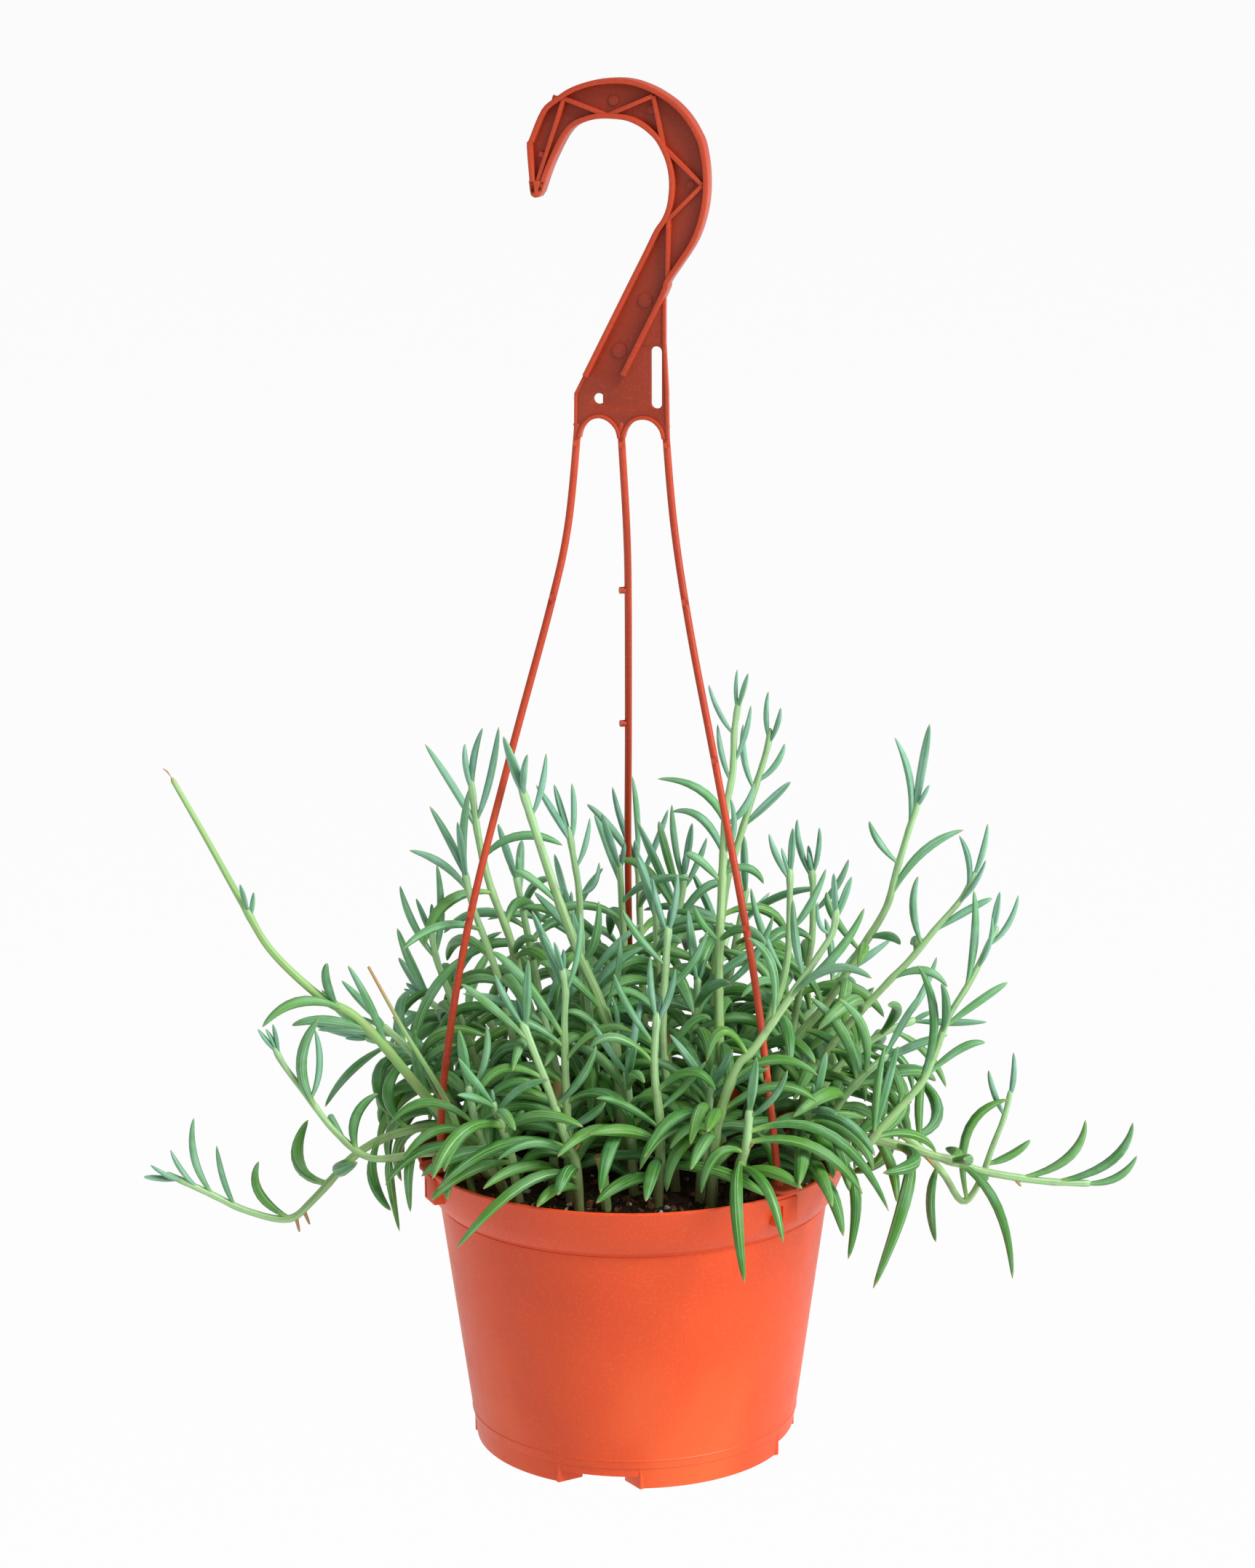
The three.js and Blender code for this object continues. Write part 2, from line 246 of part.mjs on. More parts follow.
// Room already taken: balls of stem, leaf and rod [x, y, z, radius, shoot].
const taken = [];
function clearOfPot(p, r) {
  const q = Math.sqrt(p[0] * p[0] + p[1] * p[1]);
  if (p[2] > r + 1.6) return true;
  const dr = q - 74.2, dz = p[2] < 0 ? 0 : p[2];
  if (Math.sqrt(dr * dr + dz * dz) < r + 1.8) return false;
  if (q < 74.2) return p[2] - r > soilTop(q) + 0.4 && q + r + 0.8 < outerR(p[2]) - WALL;
  return q - r - 0.8 > outerR(p[2]);
}
function clear(balls, who, skipOwn) {
  for (let i = 0; i < balls.length; i++) {
    const b = balls[i];
    if (i > 0 && !clearOfPot(b, b[3])) return false;
    for (const t of taken) {
      if (t[4] === who && i < skipOwn) continue;
      const dx = b[0] - t[0], dy = b[1] - t[1], dz = b[2] - t[2], d = b[3] + t[3] + (t[4] === who ? -0.4 : 0.45);
      if (dx * dx + dy * dy + dz * dz < d * d) return false;
    }
  }
  return true;
}
const leafBalls = (P, w, who) => Array.from({ length: 13 }, (_, i) => {
  const s = i / 12;
  return [...bezier(P, s), Math.max(0.3, w * widthAt(s) * 0.47), who];
});

for (const rod of RODS)
  for (const p of runThrough(rod, 14)) taken.push([p[0], p[1], p[2], ROD_D / 2 + 0.5, 'rod']);
for (const az of ROD_AZ) {
  const a = az * Math.PI / 180;
  for (const dz of [1, -3, -7]) taken.push([72 * Math.sin(a), -72 * Math.cos(a), dz, 7, 'rod']);
}

// Bark chips on the soil: seed, size, place, turn.
const CHIPS = [
  ['bark_chip_front', 5, [10, 6, 4], [42, -42], 30],
  ['bark_chip_left', 6, [8, 5, 3.4], [-54, -20], 110],
  ['bark_chip_back', 7, [9, 6, 4], [16, 44], -40],
];
for (const [, , size, [x, y]] of CHIPS) taken.push([x, y, soilTop(Math.hypot(x, y)) + 2, size[0] / 2 + 0.6, 'chip']);

function growShoots() {
  const shoots = [];
  const rows = SHOOTS.map((s) => ({ name: s[0], kind: s[1], points: s[2], r0: s[3], r1: s[4], own: s[5], rule: s[6] }));
  CLUMP.forEach((c, i) => {
    const foot = [c[0], c[1], 0], top = [c[2], c[3], c[4]];
    const out = [c[2] - c[0], c[3] - c[1], 0];
    const low = c[4] < 20 && c[5] > 6;
    rows.push({ name: `clump_shoot_${String(i + 1).padStart(2, '0')}`, kind: 'leafy', r0: 1.7, r1: 1,
      points: low
        ? [foot, add(foot, add(mul(out, 0.25), [0, 0, 12])), add(foot, add(mul(out, 0.62), [0, 0, 16 + c[5]])), top]
        : [foot, add(mix(foot, top, 0.3), [0, 0, c[5]]), add(mix(foot, top, 0.68), [0, 0, c[5]]), top],
      own: [], rule: [c[1] < -38 ? 0.45 : 0.1, 0.99, c[6], 37, c[7]] });
  });
  rows.forEach((row, who) => {
    const foot = row.points[0];
    foot[2] = soilTop(Math.hypot(foot[0], foot[1])) + GAP;
    for (let attempt = 0; attempt < 9; attempt++) {
      const push = [0, 3, -3, 6, -6, 9, -9, 12, -12][attempt];
      const pts = row.points.map((p, i) => [p[0], p[1] + (i ? push * Math.min(1, i / 2) : 0), p[2]]);
      const run = runThrough(pts, 5);
      const balls = run.map((p, i) => [...p, (row.r0 + (row.r1 - row.r0) * i / (run.length - 1)) + 0.15, who]);
      // fill the gaps between samples
      const fine = [];
      balls.forEach((b, i) => { fine.push(b); if (i + 1 < balls.length) fine.push([...mix(b, balls[i + 1], 0.5).slice(0, 3), b[3], who]); });
      if (attempt < 8 && !clear(fine.slice(2), who, 0)) continue;
      row.run = run; row.bumped = attempt;
      for (const b of fine) taken.push(b);
      break;
    }
  });
  rows.forEach((row, who) => {
    row.leaves = [];
    const keep = (P, w) => { row.leaves.push({ P, w }); for (const b of leafBalls(P, w, who)) taken.push(b); };
    for (const [t, x, y, z, ax, ay, az, wide] of row.own) {
      const w = wide * 0.78;
      const [p0] = alongRun(row.run, t);
      for (const k of [0, -4, 4, -8, 8, -12, 12, -16, 16]) {
        const tip = [x, y + k, z], arch = [ax, ay, az];
        const P = [p0, add(mix(p0, tip, 0.33), arch), add(mix(p0, tip, 0.67), arch), tip];
        if (clear(leafBalls(P, w, who), who, 4)) { P.own = true; keep(P, w); break; }
        if (k === 16) row.lost = (row.lost || 0) + 1;
      }
    }
  });
  rows.forEach((row, who) => {
    if (!row.rule) return;
    const [first, last, count, longest, seed] = row.rule;
    for (let n = 0; n < count; n++) {
      const rand = stream(seed * 977 + n * 31);
      const t = first + (last - first) * (count > 1 ? n / (count - 1) : 0);
      const [p0, T] = alongRun(row.run, t);
      const young = Math.max(0, (t - 0.72) / 0.28);
      const size = longest * (0.96 + 0.36 * rand()) * (1 - 0.5 * young);
      const w = (4.3 + 0.9 * rand()) * (1 - 0.42 * young);
      const turn = n * 2.4 + rand() * 0.8, open = 0.75 - 0.42 * young + 0.3 * rand(), over = (1.2 + 1.1 * rand()) * (1 - young) - 0.2 * young;
      const side0 = unit(cross(T, Math.abs(T[2]) > 0.9 ? [1, 0, 0] : [0, 0, 1])), side1 = cross(T, side0);
      for (let attempt = 0; attempt < 14; attempt++) {
        const az = turn + attempt * 0.9, f = 1 - 0.03 * attempt;
        const A = add(mul(side0, Math.cos(az)), mul(side1, Math.sin(az)));
        const d0 = unit(add(mul(T, Math.cos(open)), mul(A, Math.sin(open))));
        // the far end leans outward and then down, as the leaf's own weight takes it
        const end = open + over * (attempt % 3 === 2 ? 0.5 : 1);
        let d1 = unit(add(mul(T, Math.cos(end)), mul(A, Math.sin(end))));
        d1 = unit(add(d1, [0, 0, -0.35 * (1 - young)]));
        const dm = unit(add(d0, d1));
        const P1 = add(p0, mul(d0, size * f * 0.36)), P2 = add(P1, mul(dm, size * f * 0.34)), P3 = add(P2, mul(d1, size * f * 0.34));
        const P = [p0, P1, P2, P3];
        if (clear(leafBalls(P, w, who), who, 4)) {
          row.leaves.push({ P, w });
          for (const b of leafBalls(P, w, who)) taken.push(b);
          break;
        }
      }
    }
  });
  return rows;
}

// A round bar along a run, closed at both ends; a flat foot lies level on the soil.
function bar(run, radii, sides, flatFoot) {
  const pts = [], faces = [];
  let side = null;
  run.forEach((p, i) => {
    const T = unit(sub(run[Math.min(run.length - 1, i + 1)], run[Math.max(0, i - 1)]));
    if (flatFoot && i === 0) T[0] = T[1] = 0, T[2] = 1;
    if (!side) side = unit(cross(T, Math.abs(T[0]) < 0.8 ? [1, 0, 0] : [0, 1, 0]));
    side = unit(sub(side, mul(T, dot(side, T))));
    const other = cross(T, side);
    for (let k = 0; k < sides; k++) {
      const a = 2 * Math.PI * k / sides;
      pts.push(add(p, add(mul(side, radii[i] * Math.cos(a)), mul(other, radii[i] * Math.sin(a)))));
    }
  });
  for (let i = 0; i + 1 < run.length; i++)
    for (let k = 0; k < sides; k++) {
      const a = i * sides + k, b = i * sides + (k + 1) % sides, c = a + sides, d = b + sides;
      faces.push([a, b, d], [a, d, c]);
    }
  const n = (run.length - 1) * sides;
  for (let k = 1; k + 1 < sides; k++) faces.push([0, k + 1, k], [n, n + k, n + k + 1]);
  return faceted(pts, faces);
}

// A leaf: a four-faced spindle along its curve, pointed where it leaves the stem's middle
// and at its tip. The listed shoots' leaves have three rings, the rest of the clump two.
function leafShape({ P, w }) {
  const S = unit(cross(sub(P[3], P[0]), sub(mix(P[1], P[2], 0.5), mix(P[0], P[3], 0.5))));
  const side = length(S) > 0.5 ? S : unit(cross(sub(P[3], P[0]), [0, 1, 0]));
  const round = [[1, 0], [0, -0.86], [-1, 0], [0, 0.78]];
  const pts = [P[0]], faces = [], stations = P.own && w >= 4.4 ? [0.18, 0.48, 0.77] : [0.26, 0.66];
  for (const s of stations) {
    const p = bezier(P, s);
    const T = unit(sub(bezier(P, Math.min(1, s + 0.02)), bezier(P, Math.max(0, s - 0.02))));
    const N = cross(side, T), h = w * widthAt(s) / 2;
    for (const [u, v] of round) pts.push(add(p, add(mul(side, h * u), mul(N, h * v))));
  }
  pts.push(P[3]);
  const ring = (i, k) => 1 + i * 4 + k % 4, tip = pts.length - 1;
  for (let k = 0; k < 4; k++) {
    faces.push([0, ring(0, k + 1), ring(0, k)], [tip, ring(stations.length - 1, k), ring(stations.length - 1, k + 1)]);
    for (let i = 0; i + 1 < stations.length; i++)
      faces.push([ring(i, k), ring(i + 1, k + 1), ring(i + 1, k)], [ring(i, k), ring(i, k + 1), ring(i + 1, k + 1)]);
  }
  return faceted(pts, faces);
}

// ---------------------------------------------------------------- the pot
// One moulding, in the pot's own frame: z = 0 at the rim.
function pot() {
  const body = lathe([
    [0, BASE_Z - 0.2], [BASE_R, BASE_Z], [BODY_R, BAND_Z - 0.01], [BAND_R, BAND_Z], [RIM_R - 0.4, -0.6], [RIM_R - 1, 0],
    [RIM_R - WALL, -0.5], [BAND_R - WALL, BAND_Z], [BODY_R - WALL - 0.2, BAND_Z - 1.5], [BASE_R - WALL, BASE_Z + 2.2],
    [BASE_R - WALL - 2, BASE_Z + 1.8], [0, BASE_Z + 1.8],
  ], 40);
  const ring = lathe([
    [FOOT_R - 2.4, BASE_Z + 0.5], [FOOT_R - 2.4, FOOT_Z], [FOOT_R, FOOT_Z], [BASE_R - 0.3, BASE_Z - 0.5],
    [BASE_R - 0.3, BASE_Z + 0.5], [FOOT_R - 2.4, BASE_Z + 0.5],
  ], 40);
  const cuts = [];
  const notch = 2 * FOOT_R * Math.sin(15.5 * RAD);      // the gap between two feet
  for (const az of [-13, 77, 167, 257]) cuts.push(box(notch, 14, 4.6, 0, -FOOT_R, FOOT_Z + 2.2).rotateZ(az * RAD));
  cuts.push(post(8, 5, 5, 16).translate(0, 0, BASE_Z - 3));
  for (let k = 0; k < 6; k++) cuts.push(post(8, 3.6, 3.6, 10).translate(36, 0, BASE_Z - 3).rotateZ((30 + 60 * k) * RAD));
  const bosses = [];
  for (const az of ROD_AZ) {
    bosses.push(box(9.6, 5.2, 9.2, 0, -ROD_SEAT_R, -6.4).rotateZ(az * RAD));
    cuts.push(box(4.2, 3.0, 8.2, 0, -ROD_SEAT_R, -3).rotateZ(az * RAD));        // the socket for the rod's tongue
    cuts.push(box(1.2, 4, 6.4, -2.9, -RIM_R - 1, -7).rotateZ(az * RAD));        // the slit in the boss
  }
  // at each notch the foot ring's ends turn inwards
  const ends = [];
  for (const az of [-13, 77, 167, 257])
    for (const side of [-1, 1]) ends.push(box(9.6, 1.8, 7.9, 0, 0, 0).rotateZ(-side * 43.7 * RAD).translate(side * 11.3, -49.8, FOOT_Z + 4).rotateZ(az * RAD));
  return union([body, ring, ...bosses]).subtract(union(cuts)).add(union(ends));
}

// ---------------------------------------------------------------- the hanger
// The hook's edges, seen from the front, x to the right and z up, from the saddle.
const OUTER = [
  [-25.3, -23.9], [-26.4, -9.2], [-25.6, -6.6], [-21.4, 2.8], [-16.7, 6.8], [-11.5, 10], [-4.5, 12.2], [3.1, 12.9],
  [9, 12.3], [15, 10.2], [20.7, 6.9], [24.6, 3.6], [27.6, 0], [30, -4], [31.8, -8.3], [33.1, -16.8], [32.9, -26], [31, -34.3],
  [28.3, -40.5], [24, -47], [20.2, -52.6], [18.7, -57],
];
const LEG_RIGHT = [[18.6, -72], [19.4, -88], [19.6, -104]];
const ARCH_R = [[17.2, -104], [16.4, -101], [14, -98.4], [11, -97.6], [8, -98.4], [5.7, -101], [4.8, -104]];
const ARCH_L = [[2.4, -104], [1.6, -101], [-0.8, -98.4], [-3.8, -97.4], [-6.8, -98.4], [-9, -101], [-9.9, -104]];
const LEG_LEFT = [[-12.2, -104], [-12, -89.4]];
const INNER = [
  [-7.5, -80.7], [-1.8, -69.5], [6.6, -53], [12, -42.5], [15.5, -35.5],
  [18.1, -31.7], [19.8, -27], [20.4, -20], [19.3, -13.5], [16.5, -7.6], [13.8, -4.6], [10.6, -2.3], [6.6, -0.6], [2, 0], [-2.5, 0], [-6.4, -0.8],
  [-10.4, -2.4], [-13, -5], [-15.5, -9.2], [-18.8, -16.1], [-21.6, -23.6],
];

// One moulding: the ribbed hook and plate, three rods, and a seat at each rod's foot.
function hanger() {
  const outline = [...OUTER, ...LEG_RIGHT, ...ARCH_R, ...ARCH_L, ...LEG_LEFT, ...INNER];
  const round = (x, z, radius, from, to, n) => Array.from({ length: n + 1 }, (_, k) =>
    new THREE.Vector2(x + radius * Math.cos((from + (to - from) * k / n) * RAD), z + radius * Math.sin((from + (to - from) * k / n) * RAD)));
  const slot = new THREE.Path([...round(15.5, -75.3, 1.45, 0, 180, 4), ...round(15.5, -92.2, 1.45, 180, 360, 4)]);
  const hole = new THREE.Path(round(-3.7, -91, 1.45, 0, 315, 7));
  const parts = [
    plate(beside(outline, -0.7, true), WEB, [slot, hole]),
    // the flanges run on across the plate and stop short of its feet
    strip([...OUTER, [5.4, -83.3]], -FLANGE, HOOK_DEPTH), strip([[-8.7, -83], ...INNER], -FLANGE, HOOK_DEPTH),
    strip(ARCH_R, -1.3, 3.6), strip(ARCH_L, -1.3, 3.6),
    plate([[-25.3, -23.9], [-24, -25.4], [-22.5, -25.2], [-21.2, -23], [-20.5, -20.6], [-25.9, -20.6]], HOOK_DEPTH - 0.2),
  ];
  // the zigzag of ribs between the two flanges
  const zig = [[-23.8, -19], [-14.4, 5.6], [0, 1], [14.8, 7.6], [18.2, -9], [30.9, -20.8], [19.6, -32], [19.4, -52.2]];
  zig.slice(1).forEach((b, i) => {
    const a = zig[i], k = 0.8 / Math.hypot(b[0] - a[0], b[1] - a[1]);      // each rib runs 0.8 mm into its neighbour
    const past = (p, q) => [p[0] + (p[0] - q[0]) * k, p[1] + (p[1] - q[1]) * k];
    parts.push(strip([past(a, b), past(b, a)], RIB, HOOK_DEPTH - 1));
  });
  // discs left by the mould's pins, proud of the web
  for (const [x, z, r] of [[1.9, 5.8, 1.7], [14.4, 2.8, 1.4], [11.9, -58.5, 2.3], [3.2, -75, 2.4]])
    parts.push(post(WEB + 0.8, r, r, 7).translate(x, z, -(WEB + 0.8) / 2));
  for (const part of parts) part.rotateX(Math.PI / 2).rotateZ(TURN * RAD);

  const section = new THREE.Shape();
  for (let k = 0; k < 6; k++) section[k ? 'lineTo' : 'moveTo'](ROD_D / 2 * Math.cos(k * 60 * RAD), ROD_D / 2 * Math.sin(k * 60 * RAD));
  section.closePath();
  RODS.forEach((rod, n) => {
    const points = [[rod[0][0], rod[0][1], rod[0][2] + 5], ...rod];
    const curve = new THREE.CatmullRomCurve3(points.map(([x, y, z]) => new THREE.Vector3(x + AXIS_X, y, z + RIM_Z)), false, 'centripetal');
    parts.push(new THREE.ExtrudeGeometry(section, { steps: 11, extrudePath: curve, bevelEnabled: false }));
    const a = ROD_AZ[n] * RAD, seat = [AXIS_X + ROD_SEAT_R * Math.sin(a), -ROD_SEAT_R * Math.cos(a), RIM_Z];
    const foot = rod[rod.length - 1];
    // a round seat on the rim, a collar round the rod, and a tongue in the socket
    parts.push(post(1.5, 5.6, 5.6, 12).translate(seat[0], seat[1], seat[2] + 0.5));
    parts.push(post(4.5, 2.2, ROD_D / 2 + 0.05, 8).translate(foot[0] + AXIS_X, foot[1], RIM_Z + 1.4));
    parts.push(box(3.2, 1.9, 5.4, 0, 0, -1.6).rotateZ(a).translate(...seat));
    // the nubs where the mould's pins pushed the rod out
    const run = runThrough(rod, 6);
    for (const t of [0.23, 0.44, 0.66, 0.86]) {
      const [p] = alongRun(run, t);
      const nub = post(2.6, 1.25, 1.05, 5);
      (n === 2 ? nub.rotateY(-Math.PI / 2).rotateZ(16 * RAD) : nub.rotateX(Math.PI / 2)).translate(p[0] + AXIS_X, p[1], p[2] + RIM_Z);
      parts.push(nub);
    }
  });
  return union(parts);
}

// ---------------------------------------------------------------- the soil
function soil() {
  return solidOf(lathe([
    [0, BASE_Z + 2.4], [BASE_R - WALL - 3, BASE_Z + 2.4], [BASE_R - WALL - 0.9, BASE_Z + 4.5], [BODY_R - WALL - 1.1, BAND_Z - 2],
    [BODY_R - WALL - 0.9, soilTop(64) - 1.2], [62, soilTop(62)], [40, soilTop(40)], [20, soilTop(20)], [0, soilTop(0)],
  ], 40));
}

function chip(seed, size, at, turn) {
  const rand = stream(seed);
  const rock = mergeVertices(new THREE.BufferGeometry().setAttribute('position', new THREE.IcosahedronGeometry(0.5, 0).getAttribute('position').clone()), 1e-4);
  const pos = rock.getAttribute('position');
  for (let i = 0; i < pos.count; i++) {
    const k = 0.82 + 0.3 * rand();
    pos.setXYZ(i, pos.getX(i) * k * size[0], pos.getY(i) * k * size[1], pos.getZ(i) * k * size[2]);
  }
  rock.rotateZ(turn * RAD);
  rock.computeBoundingBox();
  const r = Math.hypot(at[0], at[1]);
  return solidOf(rock.translate(at[0], at[1], soilTop(Math.max(0, r - 6)) + 0.35 - rock.boundingBox.min.z));
}

// ---------------------------------------------------------------- assembly
// The hanger stands in the row's frame; the pot and all it holds in the pot's own.
const group = new THREE.Group();
group.name = 'potted_string_of_fishhooks';
const inPot = new THREE.Group();
inPot.position.set(AXIS_X, 0, RIM_Z);
group.add(inPot);
function put(into, name, solid, material) {
  const mesh = new THREE.Mesh(geometryOf(solid), material);
  mesh.name = name;
  into.add(mesh);
}
const paint = (name, color, roughness) => new THREE.MeshStandardMaterial({ name, color, roughness, metalness: 0 });

put(inPot, 'pot', pot(), paint('pot_plastic', 0xE2542E, 0.42));
put(group, 'hanger', hanger(), paint('hanger_plastic', 0xC24A2C, 0.36));
put(inPot, 'soil', soil(), paint('potting_mix', 0x3A2A20, 0.95));
for (const [name, seed, size, at, turn] of CHIPS) put(inPot, name, chip(seed, size, at, turn), paint('bark', 0x6B4A32, 0.9));

const rows = growShoots();
// The few points of a run that keep every other point within slack of the chords.
function sparse(run, slack, i = 0, j = run.length - 1) {
  let far = 0, at = -1;
  for (let k = i + 1; k < j; k++) {
    const d = unit(sub(run[j], run[i])), v = sub(run[k], run[i]);
    const off = length(sub(v, mul(d, dot(v, d))));
    if (off > far) { far = off; at = k; }
  }
  return far > slack ? [...sparse(run, slack, i, at), ...sparse(run, slack, at, j).slice(1)] : [i, j];
}
for (const row of rows) {
  const n = row.run.length;
  const idx = sparse(row.run, 0.35);
  const run = idx.map((i) => row.run[i]);
  const radii = idx.map((i) => row.r0 + (row.r1 - row.r0) * i / (n - 1));
  const whole = union([bar(run, radii, 4, true), ...row.leaves.map(leafShape)]);
  const lean = whole.simplify(0.2);
  const solid = lean.decompose().length === 1 ? lean : whole;      // where simplifying would cut a thin join
  const [slot, color] = { bare: ['pale_stem', 0xA9CF86], stub: ['dry_stem', 0xB9A46A], leafy: ['succulent_leaf', 0x5C9455] }[row.kind];
  put(inPot, row.name, solid, paint(slot, color, 0.5));
}
group.userData.report = rows.map((r) => [r.name, r.leaves.length, r.lost || 0, r.bumped]);

export default group;
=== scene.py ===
"""A potted string of fishhooks, hung by the hook of its moulded pot.

Sizes are in millimetres in the tables below and in metres in the scene.
The origin is the inside of the hook's bend; the pot has its own frame, with
z = 0 at the rim and its axis AXIS_X to the right of the hook.
"""
import math
import bpy
import bmesh
import numpy as np
from mathutils import Matrix, Vector, noise


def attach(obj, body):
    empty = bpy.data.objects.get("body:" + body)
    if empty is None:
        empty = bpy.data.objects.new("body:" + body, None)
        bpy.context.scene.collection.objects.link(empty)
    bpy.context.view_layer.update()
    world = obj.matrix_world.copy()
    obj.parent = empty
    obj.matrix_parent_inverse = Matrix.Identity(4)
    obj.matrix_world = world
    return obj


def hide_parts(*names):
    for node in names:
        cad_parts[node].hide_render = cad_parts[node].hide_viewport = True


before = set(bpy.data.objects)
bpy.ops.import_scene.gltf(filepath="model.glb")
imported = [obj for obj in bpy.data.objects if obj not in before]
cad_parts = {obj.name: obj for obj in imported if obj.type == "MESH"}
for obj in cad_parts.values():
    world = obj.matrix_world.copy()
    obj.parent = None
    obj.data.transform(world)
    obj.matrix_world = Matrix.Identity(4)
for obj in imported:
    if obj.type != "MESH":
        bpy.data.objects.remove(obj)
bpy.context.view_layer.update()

MM = 0.001
RAD = math.pi / 180
FULL_TURN = 6.28                   # in radians

# ---------------------------------------------------------------- measures, mm
AXIS_X, RIM_Z = 6.0, -347.0        # the pot's axis and rim, from the hook's bend
RIM_R = 75.0
LIP_R = 74.2                       # the middle of the rim's rounded lip
BAND_R, BAND_Z = 68.6, -16.2       # lower edge of the rim band
BODY_R = 66.8
BASE_R, BASE_Z = 55.8, -96.5
FOOT_R, FOOT_Z = 54.7, -104.0
WALL = 1.8
ROD_D = 2.5
ROD_AZ = (-67, 43, 178)            # degrees round the rim, 0 at the front
ROD_SEAT_R = 72.0
HOOK_DEPTH, WEB, FLANGE, RIB = 8.0, 1.8, 1.7, 1.4
TURN = -11                         # degrees the hook is turned about the vertical
GAP = 0.5                          # under a stem's foot, before it is rooted

# The rods, from the plate down to the rim, in the pot's frame.
RODS = [
    ((-17.2, 2, 243), (-20.5, 1, 213), (-26.5, -4, 187), (-40.8, -12.5, 136), (-54.6, -21, 82.5),
     (-63, -26, 33), (-64.8, -27.6, 2.4)),
    ((12.2, -3.4, 243), (14.8, -5, 213), (19.8, -12, 180), (28.2, -26.5, 136), (39.2, -42, 76),
     (44.5, -49, 34.5), (47.9, -51.4, 2.4)),
    ((-2.5, -0.7, 243), (-1, 2, 213), (-0.6, 12, 187), (-0.8, 33, 136), (-1.2, 54, 82.5),
     (-0.4, 66, 33), (2.4, 70.2, 2.4)),
]

